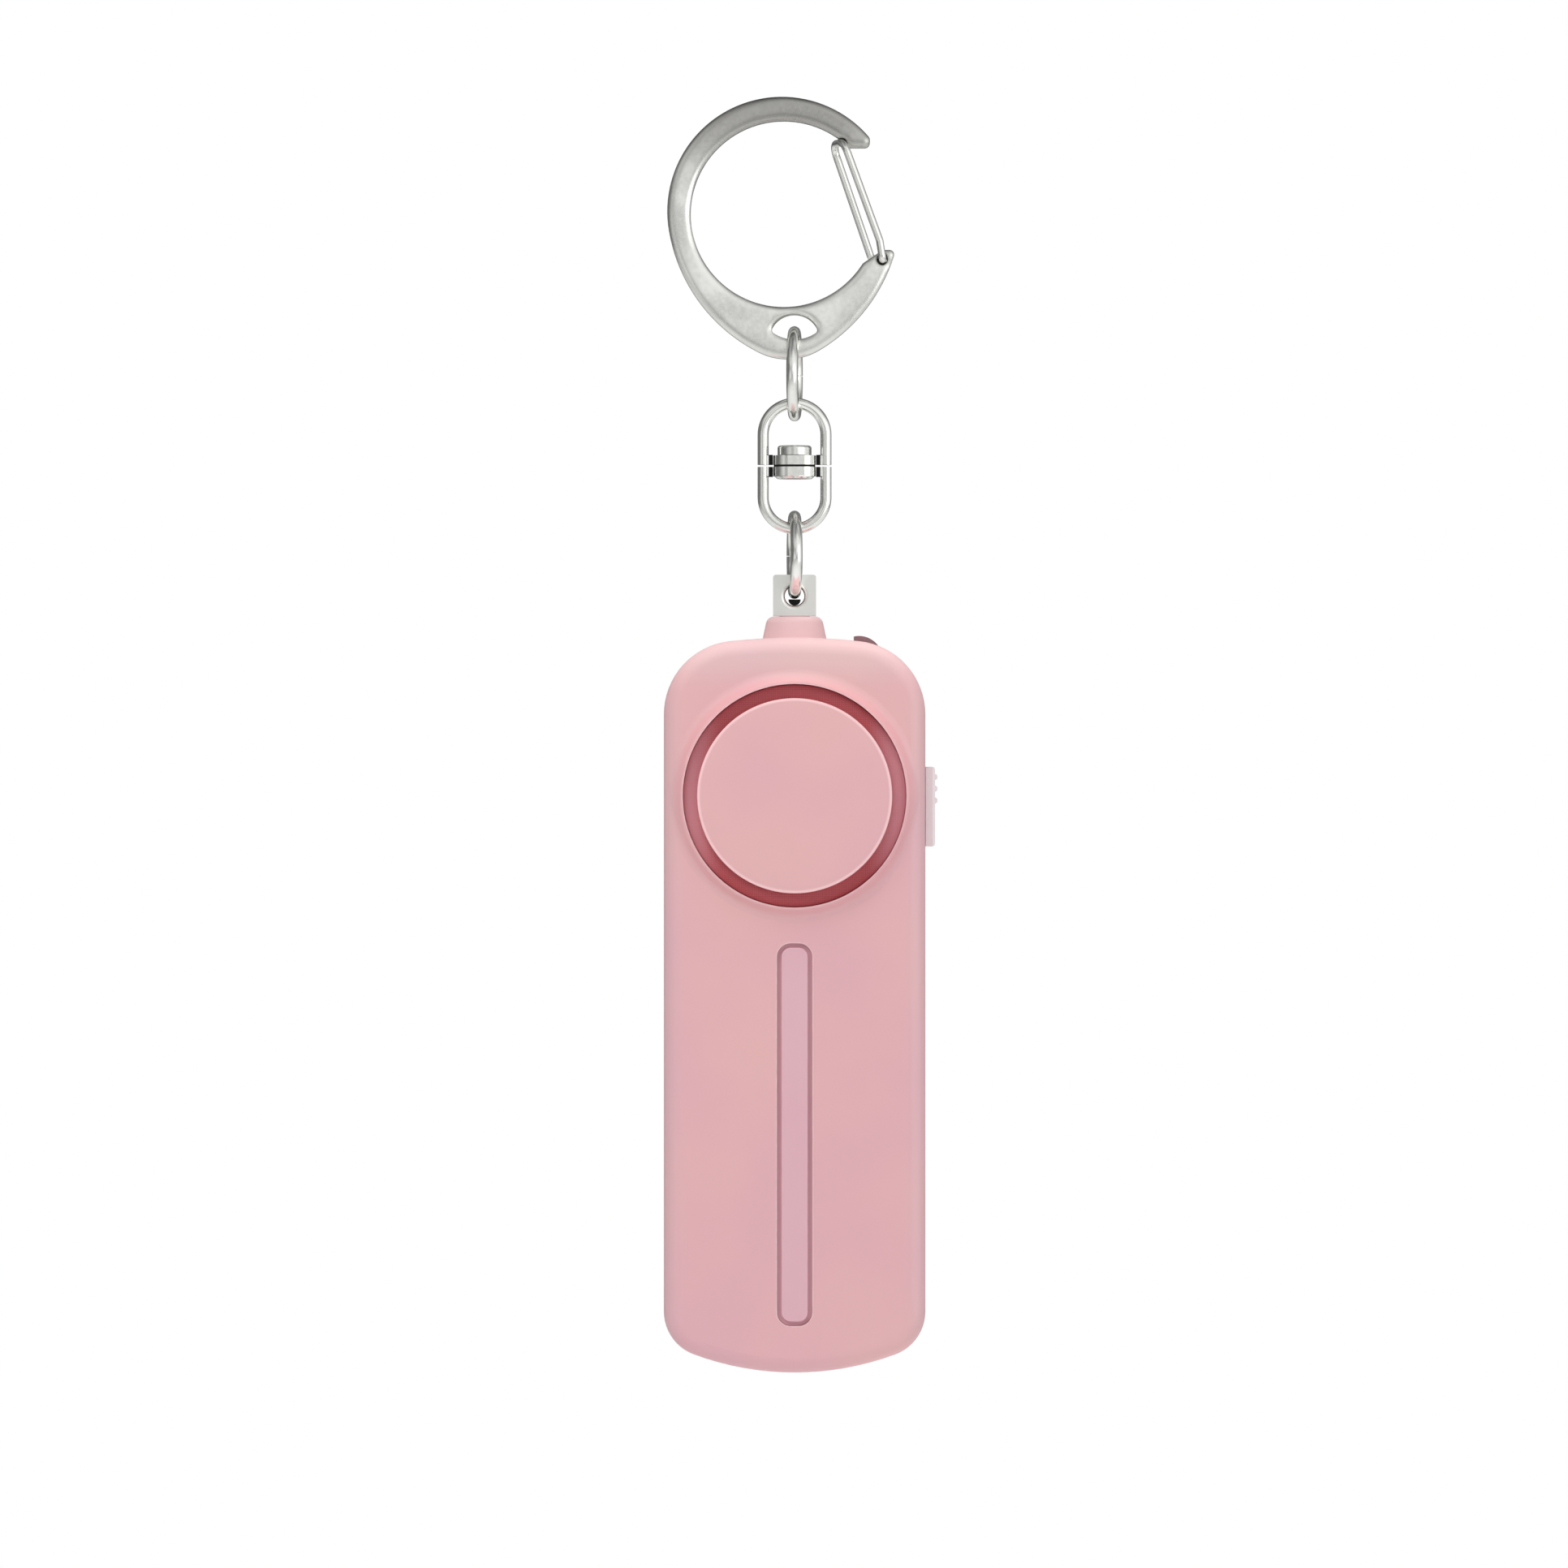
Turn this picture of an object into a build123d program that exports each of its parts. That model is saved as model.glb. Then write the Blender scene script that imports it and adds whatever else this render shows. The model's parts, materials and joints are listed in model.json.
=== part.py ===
"""Personal safety alarm with a pull pin, on a snap hook.

Everything is in millimetres. The alarm hangs as it does from a bag strap: +Z is up,
the loudspeaker side faces -Y and +X is to the right of someone who looks at it.
The origin is the point inside the hook where it bears on what it hangs from.
"""
from build123d import *
import math
import os

# Clearances that the whole object shares
seat_gap = 0.07        # between two metal pieces that hang in each other
running_gap = 0.06     # round a shaft or a pin that turns
slide_gap = 0.10       # beside a piece that slides
fit_gap = 0.03         # round a fixed piece in its seat
overrun = 1.0          # how far a cutting tool passes the face that it cuts

# Snap hook
hook_thickness = 2.8
hook_inner_r = 10.97
hook_offset_x = 1.26       # the hook's round bow stands this far left of the chain
hook_back_r = 13.49
hook_back_shift = (-0.23, 0.27)
hook_flank_r = 19.7
hook_flank_angle = 190.0
hook_belly_r = 7.4
hook_front_r = 19.77
hook_front_shift = (-5.89, 1.01)
hook_tip_r = 12.06
hook_tip_angle = 47.0
hook_nose_x = 8.87
hook_nose_under_z = -3.1
hook_nose_round = 0.62
hook_end_z = -15.15
hook_end_angle = 347.0     # the front arc runs on to here and is then cut to the end's height
hook_end_round = 0.55
hook_end_bevel = (2.7, 1.85)   # slanted step from the bow's inside to the hook's end
hook_rim_round = 0.5
eye_width = 5.6
eye_height = 2.95
eye_bar = 2.2              # metal left under the eye
eye_rim_round = 0.3
eye_corner_round = 0.55

# Wire gate of the hook
gate_wire = 0.88
gate_pivot_x = 10.35
gate_pivot_z = -16.3
gate_top_x = 5.13
gate_top_z = -2.55
gate_leg_pitch = 1.3       # the two legs stand this far apart, seen from the front
gate_knee = (0.35, 2.2)    # bend in the front leg, in and up from the bore
gate_rear_lift = 0.35      # the rear leg bends this far above the bore
gate_foot_length = 0.95
gate_bend_r = 0.45
gate_top_round = 1.3
gate_side_gap = 0.12
gate_bore_flare_r = 0.82
gate_bore_flare = 0.4

# Link rings, one between hook and swivel and one between swivel and pin
ring_wire = 1.4
upper_ring_outer = 11.2
lower_ring_outer = 10.4

# Swivel
swivel_width = 8.7
swivel_wire = 1.3
swivel_half_height = 7.9
swivel_plate = 1.1
swivel_plate_depth = 3.6
swivel_plate_slot = 0.5
swivel_neck_depth = 1.0
swivel_parting = 0.25
rivet_head_width = 4.0
rivet_head_height = 1.1
rivet_shank_r = 1.0
rivet_foot_r = 2.3
rivet_foot_height = 0.3

# Pull pin
tab_width = 5.06
tab_height = 4.85
tab_thickness = 1.6
tab_corner = 0.35
tab_hole_r = 1.15
tab_web = 1.35             # metal above the tab's hole
tab_hole_round = 0.45
stem_width = 3.6
stem_thickness = 1.2
stem_length = 8.2
tip_length = 5.4
tip_taper = 0.5

# Housing
body_length = 86.0
body_width = 30.6
body_depth = 15.6
wall = 1.6
rim_round = 1.8
crown_top_r = 70.0
corner_top_r = 8.6
crown_bottom_r = 33.9
corner_bottom_r = 5.35

# Loudspeaker boss
speaker_drop = 18.5        # from the body's top to the loudspeaker's centre
boss_r = 15.1
boss_slope = 1.8
boss_rise = 1.0
boss_round = 0.45
boss_foot_round = 1.2      # hollow where the boss runs into the case
groove_outer_r = 13.06
cap_r = 11.4
cap_round = 0.35
groove_depth = 1.4
mesh_thickness = 0.5
mesh_clamp = 0.5           # width of the mesh ring that the cap holds down
floor_thickness = 1.2
sound_slot_inner_r = 11.45
sound_slot_outer_r = 12.05
sound_slots = 8
sound_slot_angle = 34.0

# Buzzer
buzzer_holder_r = 13.2
buzzer_holder_wall = 1.1
buzzer_holder_depth = 3.0
buzzer_front_room = 1.2
buzzer_plate_r = 12.5
buzzer_plate_thickness = 0.25
buzzer_ceramic_r = 9.0
buzzer_ceramic_thickness = 0.25
buzzer_pin_r = 0.4
buzzer_pin_x = 10.0
buzzer_pin_z = 4.5         # below the loudspeaker's centre

# Inlaid bar
bar_drop = 36.0
bar_end_gap = 5.8          # from the bar's lower end to the body's
bar_pocket_width = 4.1
bar_groove = 0.5
bar_pocket_depth = 1.1
bar_foot = 0.5
bar_corner = 1.6

# Collar round the pin
collar_height = 2.58
collar_top_r = 3.2
collar_base_r = 3.75
collar_round = 0.95
collar_neck_r = 3.0
collar_flange_r = 4.1
collar_flange = 1.1
collar_sink = 0.3

# Lamp window on the right shoulder
lamp_left_x = 6.98
lamp_right_x = 9.94
lamp_rise = 0.22
lamp_mid_rise = 0.14
lamp_right_drop = 1.02
lamp_depth = 3.2
lamp_root = 2.9
led_r = 1.25
led_length = 2.1
led_leg = 0.4
led_leg_pitch = 1.2

# Slide switch on the right side
switch_drop = 15.1
switch_length = 9.36
switch_depth = 5.2
switch_proud = 1.2
switch_round = 0.35
switch_travel = 2.0
ridge_count = 3
ridge_proud = 0.3
ridge_width = 0.75
ridge_pitch = 1.38
ridge_first_drop = 1.2
switch_stem_length = 2.6
switch_stem_depth = 2.0
switch_body_width = 2.7
switch_body_gap = 0.6
switch_can = 0.3
switch_body_length = 9.0
slider_length = 2.2
slider_depth = 1.6
slider_reach = 1.9

# Circuit board and what sits on it
board_y = 2.4
board_thickness = 1.0
board_half_width = 12.3
board_wide_top = 11.2
board_wide_bottom = 26.9
board_tongue_half = 7.2
board_top = 3.5
board_bottom = 31.5
board_post_r = 1.5
board_post_x = 5.3
board_post_drop = 29.4
board_rest_x = 9.6
board_rest_drop = 13.2
board_screw_head_r = 1.3
board_screw_head = 0.9
board_screw_r = 0.7
board_screw_length = 3.2
chip_width = 5.0
chip_length = 4.0
chip_height = 1.5
chip_drop = 20.0
chip_x = -3.0
coil_r = 2.8
coil_height = 3.6
coil_x = -6.5
coil_drop = 21.0
block_half_width = 4.4
block_top = 4.6
block_bottom = 13.4
block_front = 1.9
leaf_thickness = 0.3
leaf_length = 5.0
leaf_depth = 2.0
leaf_gap = 0.08

# Screws that hold the shells
screw_x = 10.3
screw_top_drop = 6.9
screw_low_drop = 30.5
pillar_r = 1.9
screw_r = 0.95
screw_hole_r = 1.1
screw_head_r = 1.6
screw_head = 1.2
screw_head_sink = 1.7
screw_length = 9.0

# Battery bay. The room that it leaves gives two cells of AAA size, 10.5 by 44.5 mm
cell_front_gap = 0.05
cell_back_gap = 0.95
cell_side_gap = 0.5
cell_nub_r = 1.9
cell_nub = 0.8
tray_half_width = 12.3
tray_wall = 0.9
tray_top = 32.9
tray_gap = 0.1
spring_room_top = 1.4      # between the upper contact plates and the cells
spring_room_low = 1.23     # between the cells and the plate that joins them
plate_thickness = 0.4
plate_half_width = 3.6
plate_depth = 7.0
button_r = 1.5
spring_root_r = 2.9
spring_top_r = 1.9
spring_wire = 0.5
link_half_width = 9.0
link_lift = 0.35
solder_tab_width = 1.5
solder_tab_offset = 3.0    # from the cell's axis towards the middle
solder_tab_top = 30.6

# Battery door
door_top = 36.0
door_half_width = 11.4
door_tongue = 1.0
door_skin = 0.8
door_grip_ribs = 5
door_grip_pitch = 1.6
door_grip_width = 0.7
door_grip_half_length = 4.5
door_grip_proud = 0.3
door_grip_drop = 42.0


def polar(centre, radius, degrees):
    """Point on a circle, in the plane that the object is seen in."""
    turn = math.radians(degrees)
    return (centre[0] + radius * math.cos(turn), centre[1] + radius * math.sin(turn))


def angle_of(centre, point):
    return math.degrees(math.atan2(point[1] - centre[1], point[0] - centre[0]))


def lower_crossing(centre_a, radius_a, centre_b, radius_b):
    """The lower of the two points where circles a and b cross."""
    dx, dz = centre_b[0] - centre_a[0], centre_b[1] - centre_a[1]
    apart = math.hypot(dx, dz)
    along = (radius_a ** 2 - radius_b ** 2 + apart ** 2) / (2 * apart)
    aside = math.sqrt(radius_a ** 2 - along ** 2)
    foot = (centre_a[0] + along * dx / apart, centre_a[1] + along * dz / apart)
    first = (foot[0] + aside * dz / apart, foot[1] - aside * dx / apart)
    second = (foot[0] - aside * dz / apart, foot[1] + aside * dx / apart)
    return min(first, second, key=lambda point: point[1])


def arc(centre, radius, start, end):
    """Arc in the drawing plane from one angle to another, in degrees."""
    middle = (start + end) / 2
    points = [polar(centre, radius, turn) for turn in (start, middle, end)]
    return ThreePointArc(*points)


def upright(face, front, back):
    """Solid with an outline drawn in X and Z, reaching from y = front to y = back."""
    return Pos(0, back, 0) * extrude(Plane.XZ * face, back - front)


def block(x_low, x_high, y_low, y_high, z_low, z_high):
    size = Box(x_high - x_low, y_high - y_low, z_high - z_low)
    return Pos((x_low + x_high) / 2, (y_low + y_high) / 2, (z_low + z_high) / 2) * size


def rod_y(x, z, radius, y_low, y_high):
    return Pos(x, (y_low + y_high) / 2, z) * Rot(90, 0, 0) * Cylinder(radius, y_high - y_low)


def rod_z(x, y, radius, z_low, z_high):
    return Pos(x, y, (z_low + z_high) / 2) * Cylinder(radius, z_high - z_low)


def ring_sag(outer, aside):
    """How far a ring's inside has curved away at a distance aside of its middle."""
    inner_r = outer / 2 - ring_wire
    return inner_r - math.sqrt(inner_r ** 2 - aside ** 2)


# Heights of the chain, worked out from the hook downwards
hook_centre = (-hook_offset_x, -math.sqrt(hook_inner_r ** 2 - hook_offset_x ** 2))
back_centre = (hook_centre[0] + hook_back_shift[0], hook_centre[1] + hook_back_shift[1])
flank_centre = polar(back_centre, hook_back_r - hook_flank_r, hook_flank_angle)
front_centre = (hook_centre[0] + hook_front_shift[0], hook_centre[1] + hook_front_shift[1])
tip_centre = polar(back_centre, hook_back_r - hook_tip_r, hook_tip_angle)
belly_centre = lower_crossing(flank_centre, hook_flank_r - hook_belly_r,
                              front_centre, hook_front_r - hook_belly_r)
hook_bottom = -math.sqrt(hook_belly_r ** 2 - belly_centre[0] ** 2) + belly_centre[1]
eye_floor = hook_bottom + eye_bar

upper_ring_top = (eye_floor + seat_gap + ring_wire
                  + ring_sag(upper_ring_outer, hook_thickness / 2 - eye_rim_round))
upper_ring_floor = upper_ring_top - upper_ring_outer + ring_wire
swivel_top = upper_ring_floor + seat_gap + swivel_wire
swivel_split = swivel_top - swivel_half_height - swivel_parting / 2
swivel_bottom = swivel_split - swivel_parting / 2 - swivel_half_height
lower_ring_top = swivel_bottom + swivel_wire + seat_gap + ring_wire
lower_ring_floor = lower_ring_top - lower_ring_outer + ring_wire
tab_hole_z = (lower_ring_floor + seat_gap - tab_hole_r
              + ring_sag(lower_ring_outer, tab_thickness / 2 - tab_hole_round))
tab_top = tab_hole_z + tab_hole_r + tab_web
collar_top = tab_top - tab_height - seat_gap
body_top = collar_top - collar_height

# Depths of the housing
front_y = -body_depth / 2
back_y = body_depth / 2
boss_y = front_y - boss_rise
inner_front = front_y + wall
inner_back = back_y - wall
half_width = body_width / 2
mesh_seat = boss_y + groove_depth + mesh_thickness
floor_back = mesh_seat + floor_thickness

gate_side = hook_thickness / 2 + gate_side_gap + gate_wire / 2

# Sizes that follow the housing
bar_length = body_length - bar_drop - bar_end_gap
cell_r = (inner_back - inner_front - tray_wall - cell_front_gap - cell_back_gap) / 2
cell_y = inner_front + tray_wall + cell_front_gap + cell_r
cell_pitch = cell_r * 2 + cell_side_gap
solder_tab_x = cell_pitch / 2 - solder_tab_offset
cell_top = -tray_top - tray_wall - plate_thickness - spring_room_top
link_crown = crown_bottom_r - wall - tray_gap - tray_wall
link_top = (-body_length + crown_bottom_r - math.sqrt(link_crown ** 2 - link_half_width ** 2)
            + link_lift + plate_thickness)
cell_bottom = link_top + spring_room_low


def snap_hook():
    """Flat hook with a thick belly, an eye for the ring and a bore for the gate."""
    belly_left = angle_of(flank_centre, belly_centre) % 360
    belly_right = angle_of(front_centre, belly_centre) % 360
    start = angle_of(tip_centre, (hook_nose_x + overrun, hook_nose_under_z))
    outer_start = polar(tip_centre, hook_tip_r, start)
    front_end = polar(front_centre, hook_front_r, hook_end_angle)
    outline = [
        arc(tip_centre, hook_tip_r, start, hook_tip_angle),
        arc(back_centre, hook_back_r, hook_tip_angle, hook_flank_angle),
        arc(flank_centre, hook_flank_r, hook_flank_angle, belly_left),
        arc(belly_centre, hook_belly_r, belly_left, belly_right),
        arc(front_centre, hook_front_r, belly_right, hook_end_angle),
        Line(front_end, outer_start),
    ]
    face = make_face(outline)
    face -= Pos(*hook_centre) * Circle(hook_inner_r)
    far_x = half_width + overrun
    mouth = Polyline(
        (gate_top_x - gate_leg_pitch, hook_nose_under_z),
        (hook_nose_x, hook_nose_under_z),
        (hook_nose_x, overrun),
        (far_x, overrun),
        (far_x, hook_end_z),
        (gate_pivot_x, hook_end_z),
        (gate_pivot_x - hook_end_bevel[0], hook_end_z - hook_end_bevel[1]),
        close=True,
    )
    face -= make_face(mouth)
    nose = face.vertices().sort_by_distance((hook_nose_x, hook_nose_under_z))[0:2]
    face = fillet(nose, hook_nose_round)
    end_corner = (hook_front_r + front_centre[0], hook_end_z)
    ends = face.vertices().sort_by_distance(end_corner)[0:2]
    face = fillet(ends, hook_end_round)
    eye_top = eye_floor + eye_height
    eye_side = eye_floor + eye_height / 3
    left, right = (-eye_width / 2, eye_side), (eye_width / 2, eye_side)
    eye = make_face([
        ThreePointArc(left, (0, eye_top), right),
        ThreePointArc(right, (0, eye_floor), left),
    ])
    eye = fillet(eye.vertices(), eye_corner_round)
    half = hook_thickness / 2
    hook = upright(face, -half, half)
    rims = [edge for edge in hook.edges() if abs(abs(edge.center().Y) - half) < seat_gap]
    hook = fillet(rims, hook_rim_round)
    hole = upright(eye, -half - overrun, half + overrun)
    hook -= hole
    eye_rims = [edge for edge in hook.edges()
                if abs(abs(edge.center().Y) - half) < seat_gap
                and abs(edge.center().X) < eye_width / 2 + eye_rim_round
                and eye_floor - seat_gap < edge.center().Z < eye_top + seat_gap]
    hook = fillet(eye_rims, eye_rim_round)
    bore_r = gate_wire / 2 + running_gap
    hook -= rod_y(gate_pivot_x, gate_pivot_z, bore_r, -half - overrun, half + overrun)
    for side in (-1, 1):
        flare = Cone(gate_bore_flare_r, bore_r, gate_bore_flare,
                     align=(Align.CENTER, Align.CENTER, Align.MIN))
        hook -= Pos(gate_pivot_x, side * half, gate_pivot_z) * Rot(side * 90, 0, 0) * flare
    crossing = Plane(origin=(gate_top_x, 0, gate_top_z), z_dir=(-gate_leg_pitch, 2 * gate_side, 0))
    return hook - crossing * Cylinder(gate_wire / 2 + gate_side_gap, gate_side * 2)


def hook_gate():
    """Sprung wire gate: two feet in the bore, two legs and a top that crosses under the nose."""
    foot = gate_side - gate_foot_length
    half_pitch = gate_leg_pitch / 2
    rear_low_x = gate_pivot_x - gate_leg_pitch
    rear_low_z = gate_pivot_z + gate_rear_lift
    route = [
        (gate_pivot_x, -foot, gate_pivot_z),
        (gate_pivot_x, -gate_side, gate_pivot_z),
        (gate_pivot_x - gate_knee[0], -gate_side, gate_pivot_z + gate_knee[1]),
        (gate_top_x + half_pitch, -gate_side, gate_top_z),
        (gate_top_x - half_pitch, gate_side, gate_top_z),
        (rear_low_x, gate_side, rear_low_z),
        (gate_pivot_x, gate_side, gate_pivot_z),
        (gate_pivot_x, foot, gate_pivot_z),
    ]
    bends = [gate_bend_r] + [gate_top_round] * 3 + [gate_bend_r] * 2
    path = FilletPolyline(*route, radius=bends)
    section = Plane(origin=path @ 0, z_dir=path % 0) * Circle(gate_wire / 2)
    return sweep(section, path=path)


def link_ring(top, outer):
    """Ring seen edge on, hanging in the plane of Y and Z."""
    major = (outer - ring_wire) / 2
    return Pos(0, 0, top - outer / 2) * Rot(0, 90, 0) * Torus(major, ring_wire / 2)


def swivel_bow():
    """Half round bow above z = 0, with two legs that end there."""
    major = (swivel_width - swivel_wire) / 2
    centre_z = swivel_half_height - swivel_width / 2
    bow = Rot(90, 0, 0) * Torus(major, swivel_wire / 2)
    reach = swivel_width
    bow &= block(-reach, reach, -reach, reach, 0, reach)
    bow = Pos(0, 0, centre_z) * bow
    for side in (-1, 1):
        bow += rod_z(side * major, 0, swivel_wire / 2, 0, centre_z)
    inner = swivel_width / 2 - swivel_wire
    plate_half = inner - swivel_plate_slot
    depth = swivel_plate_depth / 2
    plate = block(-plate_half, plate_half, -depth, depth, 0, swivel_plate)
    plate = fillet(plate.edges().filter_by(Axis.Z), depth - running_gap)
    neck = swivel_neck_depth / 2
    return bow + plate + block(-major, major, -neck, neck, 0, swivel_plate)


def swivel_upper_loop():
    loop = swivel_bow()
    loop -= rod_z(0, 0, rivet_shank_r + running_gap, -overrun, swivel_plate + overrun)
    return Pos(0, 0, swivel_split + swivel_parting / 2) * loop


def swivel_lower_loop():
    loop = swivel_bow()
    loop -= rod_z(0, 0, rivet_shank_r, -overrun, swivel_plate + overrun)
    return Pos(0, 0, swivel_split - swivel_parting / 2) * Rot(180, 0, 0) * loop


def swivel_rivet():
    """Rivet that holds the two loops: it is fast in the lower one and turns in the upper."""
    head_under = swivel_split + swivel_parting / 2 + swivel_plate + running_gap
    foot_top = swivel_split - swivel_parting / 2 - swivel_plate
    head = rod_z(0, 0, rivet_head_width / 2, head_under, head_under + rivet_head_height)
    head = fillet(head.edges().sort_by(Axis.Z)[-1], rivet_foot_height)
    foot = rod_z(0, 0, rivet_foot_r, foot_top - rivet_foot_height, foot_top)
    foot = chamfer(foot.edges().sort_by(Axis.Z)[0], rivet_foot_height * 0.8)
    return head + foot + rod_z(0, 0, rivet_shank_r, foot_top - rivet_foot_height / 2,
                               head_under + rivet_head_height / 2)


def pin_tab():
    """Flat metal pin: a holed tab above a shoulder and a narrower stem."""
    half = tab_thickness / 2
    bottom = tab_top - tab_height
    tab = block(-tab_width / 2, tab_width / 2, -half, half, bottom, tab_top)
    top_corners = tab.edges().filter_by(Axis.Y).sort_by(Axis.Z)[-2:]
    tab = fillet(top_corners, tab_corner)
    tab -= rod_y(0, tab_hole_z, tab_hole_r, -half - overrun, half + overrun)
    rims = [edge for edge in tab.edges().filter_by(GeomType.CIRCLE)
            if abs(edge.center().Z - tab_hole_z) < seat_gap]
    tab = fillet(rims, tab_hole_round)
    stem_half = stem_thickness / 2
    return tab + block(-stem_width / 2, stem_width / 2, -stem_half, stem_half,
                       bottom - stem_length, bottom)


def pin_insulator_tip():
    """Plastic end of the pin that keeps the two contact leaves apart."""
    top = tab_top - tab_height - stem_length
    half = stem_thickness / 2
    tip = block(-stem_width / 2, stem_width / 2, -half, half, top - tip_length, top)
    low_edges = tip.edges().filter_by(Axis.Y).sort_by(Axis.Z)[0:2]
    return chamfer(low_edges, tip_taper)


def body_outline(inset):
    """Rounded slab outline with crowned ends, its top at z = 0, drawn in by inset."""
    half = half_width - inset
    sides = []
    for crown_r, corner_r, end in ((crown_top_r, corner_top_r, 0),
                                   (crown_bottom_r, corner_bottom_r, -body_length)):
        upward = 1 if end == 0 else -1
        crown, corner = crown_r - inset, corner_r - inset
        crown_centre = end - upward * crown_r
        corner_x = half - corner
        rise = math.sqrt((crown - corner) ** 2 - corner_x ** 2)
        corner_z = crown_centre + upward * rise
        grow = crown / (crown - corner)
        meet = (corner_x * grow, crown_centre + upward * rise * grow)
        lean = math.atan2(rise, corner_x)
        knee = (corner_x + corner * math.cos(lean / 2),
                corner_z + upward * corner * math.sin(lean / 2))
        sides.append((crown_centre + upward * crown, meet, knee, corner_z))
    (top, top_meet, top_knee, top_z), (low, low_meet, low_knee, low_z) = sides

    def mirror_x(point):
        return (-point[0], point[1])

    return make_face([
        ThreePointArc(mirror_x(top_meet), (0, top), top_meet),
        ThreePointArc(top_meet, top_knee, (half, top_z)),
        Line((half, top_z), (half, low_z)),
        ThreePointArc((half, low_z), low_knee, low_meet),
        ThreePointArc(low_meet, (0, low), mirror_x(low_meet)),
        ThreePointArc(mirror_x(low_meet), mirror_x(low_knee), (-half, low_z)),
        Line((-half, low_z), (-half, top_z)),
        ThreePointArc((-half, top_z), mirror_x(top_knee), mirror_x(top_meet)),
    ])


def slab(inset, front, back):
    return upright(body_outline(inset), front, back)


def half_case(face_y):
    """Solid half of the case between the parting plane and one face, that face's rim rounded."""
    front, back = min(face_y, 0), max(face_y, 0)
    solid = slab(0, front, back)
    rim = [edge for edge in solid.edges() if abs(edge.center().Y - face_y) < seat_gap]
    return fillet(rim, rim_round)


def screw_places():
    return [(side * screw_x, -drop) for drop in (screw_top_drop, screw_low_drop) for side in (-1, 1)]


def openings_in_case():
    """What is cut from both shells: the collar's neck, the lamp window and the switch slot."""
    neck = rod_z(0, 0, collar_neck_r + fit_gap, -wall * 2, overrun)
    lamp = block(lamp_left_x - fit_gap, lamp_right_x + fit_gap, -lamp_depth / 2 - fit_gap,
                 lamp_depth / 2 + fit_gap, -lamp_root - overrun, overrun)
    stem_top = -switch_drop - (switch_length - switch_stem_length) / 2
    reach = switch_stem_depth / 2 + slide_gap
    slot = block(half_width - wall - overrun, half_width + overrun, -reach, reach,
                 stem_top - switch_stem_length - switch_travel - slide_gap, stem_top + slide_gap)
    return neck + lamp + slot


def speaker_boss():
    """Round boss with sloping sides, turned about the loudspeaker's axis."""
    profile = FilletPolyline(
        (0, boss_y), (boss_r - boss_slope, boss_y), (boss_r, boss_y + boss_rise + boss_slope / 2),
        (boss_r, inner_front), (0, inner_front),
        radius=[boss_round, boss_round, 0],
    )
    face = make_face([profile, Line((0, inner_front), (0, boss_y))])
    boss = revolve(face, Axis.Y)
    return Pos(0, 0, -speaker_drop) * boss


def ring_sector(inner, outer, front, back, middle_angle, spread):
    """Curved slot about the loudspeaker's axis."""
    low, high = middle_angle - spread / 2, middle_angle + spread / 2
    edges = [
        arc((0, 0), outer, low, high),
        Line(polar((0, 0), outer, high), polar((0, 0), inner, high)),
        arc((0, 0), inner, high, low),
        Line(polar((0, 0), inner, low), polar((0, 0), outer, low)),
    ]
    return Pos(0, 0, -speaker_drop) * upright(make_face(edges), front, back)


def rounded_bar(width, length, corner, front, back):
    face = RectangleRounded(width, length, corner)
    return Pos(0, 0, -bar_drop - bar_length / 2) * upright(face, front, back)


def front_shell():
    case, boss = half_case(front_y), speaker_boss()
    shell = case + boss
    foot = shell.edges() - case.edges() - boss.edges()
    shell = fillet(foot.filter_by(lambda edge: edge.center().Y < inner_front), boss_foot_round)
    shell -= slab(wall, inner_front, overrun)
    shell += rod_y(0, -speaker_drop, groove_outer_r + wall / 4, inner_front, floor_back)
    shell -= rod_y(0, -speaker_drop, groove_outer_r, boss_y - overrun, mesh_seat)
    for index in range(sound_slots):
        shell -= ring_sector(sound_slot_inner_r, sound_slot_outer_r, mesh_seat - overrun,
                             floor_back + overrun, index * 360 / sound_slots, sound_slot_angle)
    for x, z in screw_places():
        shell += rod_y(x, z, pillar_r, inner_front, 0)
        shell -= rod_y(x, z, screw_r, back_y - screw_head_sink - screw_length - seat_gap, overrun)
    shell -= rounded_bar(bar_pocket_width, bar_length + bar_groove, bar_corner,
                         front_y - overrun, front_y + bar_pocket_depth)
    return shell - openings_in_case()


def door_space(side_gap, tongue_gap, top):
    """T-shaped runner space of the battery door, open at the bottom end of the case."""
    low = -body_length - overrun
    outer = door_half_width + side_gap
    inner = outer + door_tongue
    skin = back_y - door_skin
    return (block(-outer, outer, inner_back + tongue_gap, back_y + overrun, low, top)
            + block(-inner, inner, inner_back + tongue_gap, skin - tongue_gap, low, top))


def rear_shell():
    shell = half_case(back_y)
    shell -= slab(wall, -overrun, inner_back)
    for x, z in screw_places():
        shell += rod_y(x, z, pillar_r, 0, inner_back)
        shell -= rod_y(x, z, screw_hole_r, -overrun, back_y + overrun)
        shell -= rod_y(x, z, screw_head_r + fit_gap, back_y - screw_head_sink, back_y + overrun)
    for side in (-1, 1):
        shell += rod_y(side * board_post_x, -board_post_drop, board_post_r,
                       board_y + board_thickness, inner_back)
        shell -= rod_y(side * board_post_x, -board_post_drop, board_screw_r,
                       board_y, board_y + board_screw_length)
        shell += rod_y(side * board_rest_x, -board_rest_drop, board_post_r,
                       board_y + board_thickness, inner_back)
    low = -body_length - overrun
    inner = door_half_width + slide_gap + door_tongue
    shell -= block(-inner, inner, inner_back - fit_gap, back_y - door_skin, low, -door_top)
    outer = door_half_width + slide_gap
    shell -= block(-outer, outer, inner_back - fit_gap, back_y + overrun, low, -door_top)
    return shell - openings_in_case()


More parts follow.
